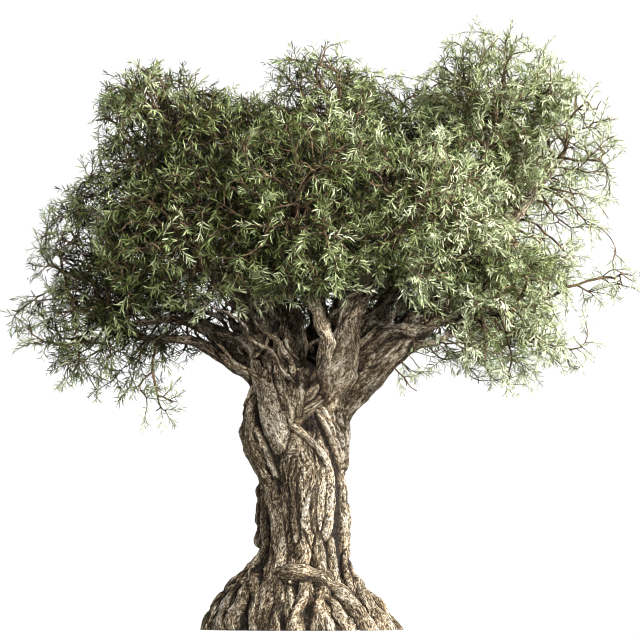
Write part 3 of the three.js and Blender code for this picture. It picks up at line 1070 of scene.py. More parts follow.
ROOTS = (
    Strand(0, 390, (-131, -135, -137), (50, 44, 30), tuck=0.3),
    Strand(0, 520, (-176, -178, -172, -160), (62, 92, 84, 50)),
    Strand(0, 300, (-161, -158, -166), (58, 44, 30), tuck=0.6),
    Strand(0, 440, (-146, -150, -142), (84, 58, 34), tuck=0.9),
    Strand(0, 430, (-118, -124, -146), (30, 30, 26), tuck=0.2),
    Strand(0, 420, (-103, -105, -112), (34, 30, 28), tuck=0.25),
    Strand(0, 330, (-94, -90, -84), (46, 42, 34), tuck=0.55),
    Strand(0, 360, (-76, -74, -70), (72, 66, 50), tuck=0.7),
    Strand(0, 280, (-60, -66, -74), (50, 44, 34), tuck=0.5),
    Strand(240, 600, (-46, -36, -26, -14), (27, 25, 25, 23), tuck=0.2),
    Strand(0, 480, (-36, -32, -26, -20), (76, 60, 52, 40), tuck=0.6),
    Strand(0, 330, (-6, -8, -12), (60, 52, 34), tuck=1.5),
    Strand(0, 380, (38, 34, 30), (70, 54, 36), tuck=0.7),
    Strand(0, 430, (76, 80, 74), (66, 58, 40), tuck=0.7),
    Strand(0, 360, (90, 84, 88), (52, 46, 34), tuck=0.4),
    Strand(0, 450, (122, 118, 124), (74, 60, 40), tuck=0.7),
    Strand(0, 340, (156, 152, 146), (60, 48, 36), tuck=0.6),
)

SIDE_STRANDS = (
    Strand(575, 1010, (-176, -183, -181, -186, -178), (36, 54, 50, 56, 32), tuck=0.85),
    Strand(1700, 2560, (-84, -83, -88, -96, -104), (30, 42, 46, 42, 34), tuck=-7.8),
)

CROSSING_ROOT = Strand(
    0, 395, (-50, -52, -56, -70, -88, -110), (66, 64, 62, 66, 72, 62), tuck=-0.12, rise=2.1, sink=40
)


@dataclass
class Trunk:
    """The trunk: its bole and the roots and side strands that lie on it, cut flat at the ground.

    A strand bends another way after each length bend, strays by up to about wander, and its radius swells by
    up to about the share swelling. buried is how many rings a root has under the ground. Each uses the noise
    after the last one's, from first_seed on.
    """

    form: TrunkForm = field(default_factory=TrunkForm)
    bole: Bole = field(default_factory=Bole)
    skin: LimbSkin = field(default_factory=LimbSkin)
    bend: float = 0.13
    wander: float = 0.026
    swelling: float = 0.28
    buried: int = 8
    first_seed: int = 39

    def limb(self, name: str, strand: Strand, seed: int) -> Limb:
        """One strand as a limb, its rings spaced evenly along its line.

        Args:
            name: the limb's name.
            strand: the strand.
            seed: which noise its bark uses.

        Returns:
            The limb, which starts a little under the ground where the strand stands on it.
        """
        even = np.linspace(0.0, 1.0, 200)
        rough = self.form.middle(strand, even)
        run = run_along(rough)
        t = np.interp(np.linspace(0.0, run[-1], max(12, int(run[-1] / self.skin.spacing))), run, even)
        line = self.form.middle(strand, t)
        radius = along_list(strand.thick, t) * MM
        outward = line - np.stack([self.form.axis_x(line[:, 2]), 0.0 * t, line[:, 2]], axis=-1)
        if strand.foot == 0:
            under = line[:1] - np.array([[0.0, 0.0, 1.2]]) * radius[0]
            steps = np.linspace(0.0, 1.0, self.buried, endpoint=False)[:, None]
            line = np.concatenate([under + (line[:1] - under) * steps, line])
            radius = np.concatenate([np.repeat(radius[:1], self.buried), radius])
            outward = np.concatenate([np.repeat(outward[:1], self.buried, axis=0), outward])
        sway = np.stack([Noise(SEED + seed + i)(line / self.bend) for i in range(3)], axis=1)
        line = line + self.wander * np.clip(radius / 0.05, 0.5, 1.0)[:, None] * sway
        radius = radius * (1.0 + self.swelling * Noise(SEED - seed)(line / (0.6 * self.bend)))
        twist = 1.6 * math.sin(seed * 2.3)
        return Limb(name, line, radius, outward, seed, twist=twist)

    def limbs(self) -> dict[str, list[Limb]]:
        """All the trunk's limbs by the piece that they are joined into."""
        listed = {
            "trunk_roots": ROOTS,
            "trunk_side_strands": SIDE_STRANDS,
            "crossing_root_bark": (CROSSING_ROOT,),
        }
        made, seed = {}, self.first_seed
        for piece, strands in listed.items():
            made[piece] = [self.limb(piece, strand, seed + i) for i, strand in enumerate(strands)]
            seed += len(strands)
        return made

    def level(self, shape: Shape) -> Shape:
        """Flattens what lies under the ground onto it, so that the trunk ends in its level cut."""
        shape.points[:, 2] = np.maximum(shape.points[:, 2], 0.0)
        return shape

    def build(self, finish: Material, company: Company) -> None:
        """Builds the trunk's pieces and enters them.

        Args:
            finish: the bark.
            company: all the tree's limbs.
        """
        enter(put_in("trunk_bole", self.bole.build(), finish), Slot.BARK.value, "trunk")
        for piece, limbs in self.limbs().items():
            shape = self.level(joined([self.skin.cover(limb, company) for limb in limbs]))
            node = "crossing_root" if piece == "crossing_root_bark" else "trunk"
            enter(put_in(piece, shape, finish), Slot.BARK.value, node)


# ---- The boughs ----


@dataclass(frozen=True)
class Bough:
    """A main bough: its mass, where and how it leaves the trunk, and its radius at its start and end.

    turn and slopes are in degrees, and thick and height in millimetres. origin names the bough that it
    leaves and the share of that bough's line.
    """

    to: str
    turn: float
    slopes: Pair
    thick: Pair
    height: float = 0.0
    origin: tuple[str, float] | None = None


BOUGHS = {
    "right_arm": Bough("right_far", -24, (42, 50), (112, 52), 1665),
    "left_arm": Bough("left_low", -175, (42, 14), (46, 30), 1690),
    "left_stem": Bough("left_high", -165, (76, 50), (98, 50), 1780),
    "left_shelf": Bough("left_front", -138, (44, 30), (66, 42), 1830),
    "front_stem": Bough("middle_front", -116, (80, 30), (112, 46), 1780),
    "crown_stem": Bough("middle_top", 170, (84, 78), (124, 54), 1800),
    "right_stem": Bough("right_front", -58, (66, 30), (124, 48), 1780),
    "back_stem": Bough("middle_back", 92, (56, 34), (86, 48), 1780),
    "back_high": Bough("top_back", 66, (80, 66), (92, 46), 1790),
    "left_rear": Bough("left_low_back", 160, (40, 22), (72, 44), 1760),
    "left_back_stem": Bough("left_back", 126, (72, 56), (80, 44), 1790),
    "right_rear": Bough("right_low_back", 22, (40, 24), (78, 46), 1740),
    "right_back_stem": Bough("right_back", 44, (62, 50), (80, 44), 1790),
    "right_high_arm": Bough("right_top", -14, (58, 72), (84, 46), origin=("right_arm", 0.28)),
    "right_low_arm": Bough("right_low", -20, (6, 10), (27, 18), origin=("right_arm", 0.16)),
    "left_low_stem": Bough("left_low", -158, (62, 0), (44, 26), 1790),
    "right_low_stem": Bough("right_low", -34, (62, 8), (58, 34), 1760),
}

MASS_MIDDLES = {
    "left_low": (-1380, -150, 2110),
    "left_low_back": (-1040, 850, 2380),
    "left_front": (-760, -950, 2620),
    "left_high": (-910, -80, 3330),
    "left_back": (-560, 960, 3240),
    "middle_front": (-20, -1130, 2750),
    "middle_top": (205, -60, 3470),
    "middle_back": (190, 1210, 2680),
    "top_back": (690, 700, 3430),
    "right_front": (780, -960, 2780),
    "right_top": (1410, -60, 3600),
    "right_far": (1850, 40, 3320),
    "right_low": (1440, -260, 2200),
    "right_low_back": (1150, 820, 2410),
    "right_back": (1290, 860, 3250),
}


def heading(azimuth: float, slope: float) -> Array:
    """The unit vector on an azimuth and a slope in degrees."""
    a, s = math.radians(azimuth), math.radians(slope)
    return np.array([math.cos(a) * math.cos(s), math.sin(a) * math.cos(s), math.sin(s)])


@dataclass
class Boughs:
    """The main boughs, from inside the trunk's head to the middle of the masses that they carry.

    Attributes:
        ring: the share of the trunk form's radius at which they start.
        crook: how far they weave.
        ease: the share of a bough's reach along which it keeps its first and its last heading.
        tail: how far it runs down into the trunk's head.
        melt: how far off a neighbour starts to run together with it.
        facing: the way each ring's first point faces.
    """

    form: TrunkForm = field(default_factory=TrunkForm)
    skin: LimbSkin = field(default_factory=lambda: LimbSkin(spacing=0.0125))
    ring: float = 0.74
    crook: float = 0.046
    ease: float = 0.36
    tail: float = 0.42
    melt: float = 0.09
    facing: Triple = (0.31, -0.95, 0.40)

    def line(self, name: str, t: Array) -> Array:
        """A bough's middle line: a cubic Bezier curve that weaves sideways and up and down.

        Args:
            name: the bough.
            t: shares of its length, from 0 to 1.

        Returns:
            The points of the line, of shape (n, 3).
        """
        bough = BOUGHS[name]
        end = np.array(MASS_MIDDLES[bough.to]) * MM
        if bough.origin:
            start = self.line(bough.origin[0], np.array([bough.origin[1]]))[0]
        else:
            fork = np.array(self.form.fork)
            start = heading(bough.turn, 0.0) * self.ring * self.form.outer(fork)
            start += np.array([self.form.axis_x(fork), 0.0, bough.height * MM])
        way = end - start
        reach = self.ease * np.linalg.norm(way)
        facing = math.degrees(math.atan2(way[1], way[0]))
        leave = start + reach * heading(bough.turn, bough.slopes[0])
        arrive = end - reach * heading(facing, bough.slopes[1])
        s = t[:, None]
        curve = (1 - s) ** 3 * start + 3 * s * (1 - s) ** 2 * leave
        curve = curve + 3 * s**2 * (1 - s) * arrive + s**3 * end
        sideways = unit(np.array([way[1], -way[0], 0.0]))
        swing = self.crook * np.sin(math.pi * s)
        curve += sideways * swing * np.sin(9.0 * s + bough.turn)
        curve += np.array([0.0, 0.0, 0.7]) * swing * np.cos(11.0 * s + bough.turn)
        return curve

    def radius(self, name: str, t: Array) -> Array:
        """A bough's radius at t: thick at its start, thin at two thirds of its line, then thinner still."""
        thick, thin = BOUGHS[name].thick
        share = np.clip(t / 0.62, 0.0, 1.0) ** 0.7
        return (thick + (thin - thick) * share) * MM * (1.0 - 0.45 * smoothstep(t, 0.6, 1.0))

    def limbs(self) -> dict[str, Limb]:
        """All the boughs as limbs, by name."""
        made = {}
        for i, (name, bough) in enumerate(BOUGHS.items()):
            rough = self.line(name, np.linspace(0.0, 1.0, 100))
            t = np.linspace(0.0, 1.0, int(run_along(rough)[-1] / self.skin.spacing))
            line, radius = self.line(name, t), self.radius(name, t)
            if not bough.origin:
                line, radius = self.rooted(line, radius)
            face = np.broadcast_to(np.array(self.facing), line.shape)
            twist = 2.2 * math.sin(i * 1.9)
            made[name] = Limb(f"{name}_bark", line, radius, face, 100 + i, twist=twist, melt=self.melt)
        return made

    def rooted(self, line: Array, radius: Array) -> tuple[Array, Array]:
        """A bough with a tail that runs on down into the trunk's head and tapers away there.

        At a share u of the tail's length the line has left the bough's start backwards by that length times
        u, while its heading turns from the bough's own to straight down and a little inwards.

        Args:
            line: the bough's middle line.
            radius: its radii.

        Returns:
            The longer line and its radii.
        """
        steps = int(self.tail / self.skin.spacing)
        u = np.linspace(1.0, 0.0, steps, endpoint=False)[:, None]
        back = -unit(line[1] - line[0])
        inward = np.array([self.form.axis_x(np.array(self.form.fork)), 0.0, 0.0]) - line[0]
        down = unit(np.array([0.0, 0.0, -1.0]) + 1.4 * inward * np.array([1.0, 1.0, 0.0]))
        tail = line[0] + self.tail * (back * (u - 0.5 * u**2) + down * 0.5 * u**2)
        thin = radius[0] * (1.0 - 0.62 * u[:, 0] ** 1.5)
        return np.concatenate([tail, line]), np.concatenate([thin, radius])

    def build(self, finish: Material, company: Company) -> None:
        """Builds each bough as a piece of its own.

        Args:
            finish: the bark.
            company: all the tree's limbs.
        """
        for name, limb in self.limbs().items():
            piece = put_in(limb.name, self.skin.cover(limb, company), finish)
            enter(piece, Slot.BARK.value, f"bough_{name}")


@dataclass
class Creepers:
    """The thin crooked limbs of old wood that climb from round the fork, past the boughs, into the crown.

    Attributes:
        host: the trunk and boughs that they climb.
        count: how many there are.
        heights: the lowest and highest that one leaves the bole.
        reach: the shortest and longest.
        thick: the thinnest and thickest at their feet.
        spacing: how far apart their rings stand.
        coil: how far along a creeper goes before its bends change.
        wild: how strongly they bend.
        upward: how strongly they climb.
        outward: the least and most strongly that one heads away from the axis.
        sideways: how strongly they set off to one side.
        taper: the share of its radius that one has left at its tip.
        melt: how far off a neighbour starts to run together with one.
    """

    host: Company
    count: int = 44
    heights: Pair = (1.66, 1.88)
    reach: Pair = (0.65, 1.35)
    thick: Pair = (0.012, 0.029)
    spacing: float = 0.009
    coil: float = 0.13
    wild: float = 1.0
    upward: float = 0.75
    outward: Pair = (0.25, 0.95)
    sideways: float = 0.35
    taper: float = 0.34
    melt: float = 0.030

    @cached_property
    def limbs(self) -> list[Limb]:
        """The creepers as limbs.

        They stand at golden turns round the bole, each at a height of its own. A creeper's heading at each
        ring is its own mixture of outwards, upwards and sideways plus smooth noise along its run, and its
        middle line is the running sum of its headings, pushed out of the trunk and boughs and then eased.
        """
        draw = np.random.default_rng(SEED + 9)
        turn = np.arange(self.count) * GOLDEN_ANGLE + draw.uniform(-0.3, 0.3, self.count)
        height = draw.uniform(*self.heights, self.count)
        out = np.stack([np.cos(turn), np.sin(turn), 0.0 * turn], axis=1)
        side = np.stack([-np.sin(turn), np.cos(turn), 0.0 * turn], axis=1)
        far = self.host.bole.gap(out + UP * height[:, None])[0]
        foot = out * (1.0 - far - 0.03)[:, None] + UP * height[:, None]
        lean = draw.uniform(*self.outward, (self.count, 1)) * out
        lean += draw.normal(scale=self.sideways, size=(self.count, 1)) * side
        steps = int(self.reach[1] / self.spacing)
        run = np.arange(steps) * self.spacing
        own = (turn[:, None] * 40.0, height[:, None] * 17.0)
        place = np.stack(np.broadcast_arrays(*own, run / self.coil), axis=-1)
        bends = [Noise(SEED + 30 + i)(place.reshape(-1, 3)).reshape(self.count, steps) for i in range(3)]
        way = unit(lean[:, None] + self.upward * UP + self.wild * np.stack(bends, axis=-1))
        lines = self.clear(foot[:, None] + np.cumsum(way, axis=1) * self.spacing)
        rings = (draw.uniform(*self.reach, self.count) / self.spacing).astype(int)
        made = []
        for i, line in enumerate(lines):
            line = line[: rings[i]]
            radius = draw.uniform(*self.thick) * np.linspace(1.0, self.taper, len(line))
            face = np.broadcast_to(out[i], line.shape)
            made.append(Limb("creepers", line, radius, face, 200 + i, melt=self.melt))
        return made

    def clear(self, lines: Array) -> Array:
        """The lines pushed out of the trunk and boughs, more the further they are from their feet.

        Args:
            lines: the middle lines, of shape (creepers, rings, 3).

        Returns:
            The pushed and eased lines.
        """
        free = smoothstep(np.arange(lines.shape[1]) * self.spacing, 0.02, 0.16)[None, :, None]
        for _ in range(4):
            gap, off = self.host.gap(lines.reshape(-1, 3), -1)
            push = np.maximum(self.thick[1] * 0.8 - gap, 0.0)[:, None] * off
            lines = lines + free * push.reshape(lines.shape)
            for _ in range(6):
                lines[:, 1:-1] = 0.5 * lines[:, 1:-1] + 0.25 * (lines[:, :-2] + lines[:, 2:])
        return lines

    def build(self, finish: Material, company: Company) -> None:
        """Builds the creepers as one piece and enters it in the trunk's place.

        Args:
            finish: the bark.
            company: all the tree's limbs.
        """
        skin = LimbSkin(spacing=self.spacing)
        shape = joined([skin.cover(limb, company) for limb in self.limbs])
        enter(put_in("creepers", shape, finish), Slot.BARK.value, "trunk")


# ---- The crown ----


@dataclass
class Growth:
    """The crown's wood: nodes, each joined to its parent, grown towards points in the masses of foliage.

    Attributes:
        step: how far one step of growth goes.
        kill: how near a node must come to a point to use it up.
        pull: how far a point can pull.
        keep_on: how strongly a shoot keeps its heading.
        lift: how strongly growth turns up.
        scatter: how strongly it strays.
        rounds: the most steps that it goes.
        patience: how many steps a point waits for a node to come nearer.
        gnarl: how far the grown wood is bent.
        gnarl_cell: how long those bends are.
        at: the nodes' places.
        parent: each node's parent, or -1.
        way: each node's heading.
        wood: how many nodes are the boughs' own.
        batches: the nodes that each step grew.
    """

    step: float = 0.048
    kill: float = 0.055
    pull: float = 0.9
    keep_on: float = 0.55
    lift: float = 0.06
    scatter: float = 0.12
    rounds: int = 90
    patience: int = 3
    gnarl: float = 0.018
    gnarl_cell: float = 0.11
    at: Array = field(default_factory=lambda: np.zeros((0, 3)))
    parent: Array = field(default_factory=lambda: np.zeros(0, int))
    way: Array = field(default_factory=lambda: np.zeros((0, 3)))
    wood: int = 0
    batches: list[Array] = field(default_factory=list)

    def plant(self, lines: list[Array], sprouting_from: list[int]) -> Array:
        """Starts the growth from the boughs' lines.

        Args:
            lines: the middle line of each bough.
            sprouting_from: the first point of each line that can sprout.

        Returns:
            Which nodes can sprout.
        """
        parents, ways, can = [], [], []
        start = 0
        for line, first in zip(lines, sprouting_from):
            index = np.arange(len(line)) + start
            parents.append(np.concatenate([[-1], index[:-1]]))
            ways.append(unit(np.gradient(line, axis=0)))
            can.append(index - start >= first)
            start += len(line)
        self.at = np.concatenate(lines)
        self.parent = np.concatenate(parents)
        self.way = np.concatenate(ways)
        self.wood = len(self.at)
        return np.concatenate(can)

    def nearest(self, points: Array, nodes: Array) -> tuple[Array, Array]:
        """Each point's nearest node of the given ones, and how far off it is."""
        gap = squared_gaps(points, self.at[nodes])
        best = gap.argmin(axis=1)
        return nodes[best], np.sqrt(np.maximum(gap[np.arange(len(points)), best], 0.0))

    def grow(self, points: Array, can_sprout: Array, draw: np.random.Generator) -> None:
        """Grows towards the points until they are used up or out of reach.

        In each round every point pulls its nearest node, and each pulled node puts out one new node a step
        away, on the mean of its pulls, its own heading and a little lift.

        Args:
            points: what the growth is drawn to.
            can_sprout: which of the planted nodes can sprout.
            draw: the random source.
        """
        node, gap = self.nearest(points, np.flatnonzero(can_sprout))
        stalled = np.zeros(len(points), int)
        for _ in range(self.rounds):
            live = (gap < self.pull) & (stalled < self.patience)
            points, node, gap, stalled = points[live], node[live], gap[live], stalled[live]
            if not len(points):
                break
            sprouts, which = np.unique(node, return_inverse=True)
            pulls = np.zeros((len(sprouts), 3))
            np.add.at(pulls, which, unit(points - self.at[node]))
            way = unit(pulls) + self.keep_on * self.way[sprouts] + np.array([0.0, 0.0, self.lift])
            way = unit(way + draw.normal(scale=self.scatter, size=way.shape))
            fresh = np.arange(len(sprouts)) + len(self.at)
            self.at = np.concatenate([self.at, self.at[sprouts] + self.step * way])
            self.way = np.concatenate([self.way, way])
            self.parent = np.concatenate([self.parent, sprouts])
            self.batches.append(fresh)
            new_node, new_gap = self.nearest(points, fresh)
            closer = new_gap < gap - 1e-4
            node, gap = np.where(closer, new_node, node), np.where(closer, new_gap, gap)
            stalled = np.where(closer, 0, stalled + 1)
            left = gap > self.kill
            points, node, gap, stalled = points[left], node[left], gap[left], stalled[left]

    def children(self) -> Array:
        """How many nodes grow from each node."""
        count = np.zeros(len(self.at), int)
        np.add.at(count, self.parent[self.wood :], 1)
        return count

    def relax(self, rounds: int = 2) -> None:
        """Eases the zigzags, then bends the wood again by smooth noise, as gnarled twigs are.

        Each grown node moves half way to the mean of its parent and its children.

        Args:
            rounds: how many times the nodes are eased.
        """
        count = self.children()
        inner = np.flatnonzero((count > 0) & (np.arange(len(self.at)) >= self.wood))
        for _ in range(rounds):
            total = np.zeros_like(self.at)
            np.add.at(total, self.parent[self.wood :], self.at[self.wood :])
            mean = total[inner] / count[inner, None]
            self.at[inner] = 0.5 * self.at[inner] + 0.25 * self.at[self.parent[inner]] + 0.25 * mean
        wild = np.stack([Noise(SEED + i)(self.at / self.gnarl_cell) for i in (1, 2, 3)], axis=1)
        self.at[self.wood :] += self.gnarl * wild[self.wood :]

    def thickness(self, tip: float, power: float) -> Array:
        """Radii by the pipe rule: a node's radius to the power is the sum of its children's.

        Args:
            tip: the radius of a twig's tip.
            power: the rule's exponent.

        Returns:
            The radius of each node.
        """
        bulk = np.zeros(len(self.at))
        bulk[self.children() == 0] = tip**power
        for batch in reversed(self.batches):
            np.add.at(bulk, self.parent[batch], bulk[batch])
        return bulk ** (1.0 / power)


@dataclass(frozen=True)
class Fade:
    """How foliage thins out along a measure: where that starts, where it ends, and the share lost there."""

    start: float
    end: float
    loss: float

    def kept(self, measure: Array) -> Array:
        """The share that is kept at each value of the measure."""
        return 1.0 - self.loss * smoothstep(measure, self.start, self.end)


@dataclass
class Crown:
    """The crown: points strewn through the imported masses, the wood grown to them, and the leaves on it.

    Attributes:
        spacing: how far apart the points of the jittered grid are.
        shell: how deep a mass is full of points; thin_inside is the share left twice as deep.
        clumping: the points' mean share, and how far clumps of the size clump raise and lower it.
        tip: the radius of a twig's tip; power is the exponent of the pipe rule.
        overhang: the least and most that a shoot may pass its mass's surface.
        edge: the share of the points left on a mass's outer side, and how deep that thinning goes.
        heart: the crown's middle.
        hull: the half axes of the ellipsoid about the heart in which the masses run together.
        hull_drop: how far below the heart that ellipsoid is cut off.
        between: how far outside a mass points may lie in there.
        tip_pass: how far shoots may pass the loose masses, which are single twigs' foliage.
        right: the thinning along +X; right_high says how it eases off along +Z.
        left: the thinning along -X; top and bottom are those along +Z and -Z.
        sparse: how full of points a mass is, where that isn't 1.
    """

    boughs: Boughs
    spacing: float = 0.055
    shell: float = 0.26
    thin_inside: float = 0.36
    clumping: Pair = (0.40, 1.65)
    clump: float = 0.27
    tip: float = 0.0040
    power: float = 2.55
    overhang: Pair = (0.010, 0.14)
    edge: Pair = (0.40, 0.15)
    heart: Triple = (0.0, 0.0, 2.8)
    hull: Triple = (1.75, 1.30, 1.00)
    hull_drop: float = 0.25
    between: float = 0.12
    tip_pass: float = 0.11
    loose: tuple[str, ...] = ("foliage_right_tip", "foliage_left_spray")
    right: Fade = Fade(1.40, 1.95, 0.84)
    right_high: Fade = Fade(3.35, 3.65, 0.75)
    left: Fade = Fade(1.50, 1.95, 0.45)
    top: Fade = Fade(3.55, 4.10, 0.50)
    bottom: Fade = Fade(-2.05, -1.66, 0.50)
    sparse: dict[str, float] = field(
        default_factory=lambda: {
            "foliage_left_high": 1.40,
            "foliage_left_back": 1.35,
            "foliage_middle_top": 0.82,
            "foliage_left_low": 0.36,
            "foliage_left_low_back": 0.36,
            "foliage_left_far": 0.30,
            "foliage_right_low": 0.62,
            "foliage_right_low_back": 0.60,
            "foliage_right_far": 0.78,
            "foliage_right_top": 0.82,
            "foliage_right_tip": 5.0,
            "foliage_left_spray": 2.2,
            "foliage_right_spray": 0.7,
        }
    )

    def masses(self, frame: dict) -> dict[str, BVHTree]:
        """A search tree for each packed mass of foliage.

        Args:
            frame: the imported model.

        Returns:
            The trees by the masses' names.
        """
        found = {}
        for name, node in frame["nodes"].items():
            if name.startswith("foliage_"):
                corners = [v.co.copy() for v in node.data.vertices]
                faces = [tuple(p.vertices) for p in node.data.polygons]
                found[name] = BVHTree.FromPolygons(corners, faces)
        return found

    def depths(self, mass: BVHTree, points: Array) -> Array:
        """How deep each point lies under a mass's surface, negative outside it.

        Args:
            mass: the mass's search tree.
            points: an array of shape (n, 3).

        Returns:
            The depths.
        """
        deep = np.empty(len(points))
        for i, point in enumerate(points):
            spot, normal, _, gap = mass.find_nearest(Vector(point))
            deep[i] = gap if (Vector(point) - spot).dot(normal) < 0.0 else -gap
        return deep

    def deepest(self, masses: dict[str, BVHTree], points: Array, reach: float = 0.15) -> Array:
        """How deep each point lies in the mass that it is deepest in, negative outside them all.

        Args:
            masses: the masses' search trees.
            points: the points.
            reach: how far outside its box a mass still counts.

        Returns:
            The depths, at least minus reach.
        """
        deep = np.full(len(points), -reach)
        for name, mass in masses.items():
            low, high = box_of(name)
            near = np.flatnonzero(np.all((points > low - reach) & (points < high + reach), axis=1))
            deep[near] = np.maximum(deep[near], self.depths(mass, points[near]))
        return deep

    def inner(self, points: Array) -> Array:
        """Which points are inside the ellipsoid about the crown's heart and not far below it."""
        inside = np.sum(((points - np.array(self.heart)) / np.array(self.hull)) ** 2, axis=1) < 1.0
        return inside & (points[:, 2] > self.heart[2] - self.hull_drop)

    def fading(self, points: Array) -> Array:
        """The share of the points that is kept near the crown's right, top, left and underside."""
        x, z = points[:, 0], points[:, 2]
        on_the_right = 1.0 - (1.0 - self.right.kept(x)) * self.right_high.kept(z)
        return on_the_right * self.top.kept(z) * self.left.kept(-x) * self.bottom.kept(-z)

    def strew(self, masses: dict[str, BVHTree], draw: np.random.Generator) -> Array:
        """Points through the masses, on a jittered grid, each kept by a chance of its own.

        The chance is full under a mass's surface and lower in its depths. It is scaled by smooth clumps, by
        the mass, by a loss at the surface of the side that faces away from the heart, and by the fading.
        On the sides that face the heart, inside the hull, points a little outside the mass count too.

        Args:
            masses: the masses' search trees.
            draw: the random source.

        Returns:
            The points, of shape (n, 3).
        """
        clumps = Noise(SEED + 5)
        mean, gain = self.clumping
        outer_share, outer_depth = self.edge
        kept = []
        for name, mass in masses.items():
            low, high = box_of(name)
            axes = [np.arange(a, b, self.spacing) for a, b in zip(low, high)]
            grid = np.stack(np.meshgrid(*axes, indexing="ij"), axis=-1).reshape(-1, 3)
            grid += draw.uniform(-0.5, 0.5, grid.shape) * self.spacing
            deep = self.depths(mass, grid)
            full = 1.0 - smoothstep(deep, self.shell, 2 * self.shell)
            chance = self.thin_inside + (1.0 - self.thin_inside) * full
            chance *= (mean + gain * clumps(grid / self.clump)) * self.sparse.get(name, 1.0)
            outer = np.sum(unit(grid - 0.5 * (low + high)) * unit(grid - np.array(self.heart)), axis=1)
            thin = (1.0 - outer_share) * smoothstep(outer, -0.2, 0.5)
            chance *= 1.0 - thin * (1.0 - smoothstep(deep, 0.0, outer_depth))
            chance *= self.fading(grid)
            floor = -self.between * (1.0 - smoothstep(outer, -0.1, 0.3)) * self.inner(grid)
            kept.append(grid[(deep > floor) & (draw.uniform(size=len(grid)) < chance)])
        return np.concatenate(kept)

    def plant(self, masses: dict[str, BVHTree]) -> tuple[Growth, Array]:
        """Plants the growth along the boughs' lines, sprouting where they are inside their masses.

        Args:
            masses: the masses' search trees.

        Returns:
            The growth, and which of its nodes can sprout.
        """
        growth = Growth()
        lines, firsts = [], []
        for name, bough in BOUGHS.items():
            fine = self.boughs.line(name, np.linspace(0.0, 1.0, 200))
            run = run_along(fine)
            t = np.interp(np.arange(0.0, run[-1], growth.step), run, np.linspace(0.0, 1.0, 200))
            line = self.boughs.line(name, t)
            inside = self.depths(masses[f"foliage_{bough.to}"], line) > 0.02
            lines.append(line)
            firsts.append(int(np.argmax(inside)) if inside.any() else len(line) - 1)
        return growth, growth.plant(lines, firsts)

    def build(self, frame: dict, twig: Material, leaves: list[tuple[str, Material, float]]) -> None:
        """Grows the crown and enters its wood and leaves.

        Args:
            frame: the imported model.
            twig: the thin bark.
            leaves: each leaf piece's name, its finish and its share of the sprays.
        """
        draw = np.random.default_rng(SEED)
        masses = self.masses(frame)
        points = self.strew(masses, draw)
        growth, can_sprout = self.plant(masses)
        growth.grow(points, can_sprout, draw)
        growth.relax()
        radius = growth.thickness(self.tip, self.power)
        LOG.info("crown: %d points, %d nodes", len(points), len(growth.at))
        nodes = tuple(masses)
        wood = Wood(growth, radius)
        for i, shape in enumerate(wood.shapes()):
            enter(put_in(f"crown_wood_{i + 1}", shape, twig), Slot.BARK.value, *nodes)
        sprays = Sprays(growth, radius)
        sprays.sprout(draw)
        near, far = self.overhang
        may_pass = near + (far - near) * draw.uniform(size=len(sprays.origin)) ** 2
        may_pass[self.inner(sprays.ends())] = 2.0 * self.between
        for name in self.loose:
            low, high = box_of(name)
            may_pass[np.all((sprays.origin > low) & (sprays.origin < high), axis=1)] = self.tip_pass
        sprays.keep(-self.deepest(masses, sprays.ends(), 2.0 * far) < may_pass)
        enter(put_in("crown_shoots", sprays.stems(), twig), Slot.BARK.value, *nodes)
        LOG.info("crown: %d shoots", len(sprays.origin))
        shares = [share for _, _, share in leaves]
        for (name, finish, _), shape in zip(leaves, sprays.leaves(shares, draw)):
            enter(put_in(name, shape, finish), Slot.LEAF.value, *nodes)


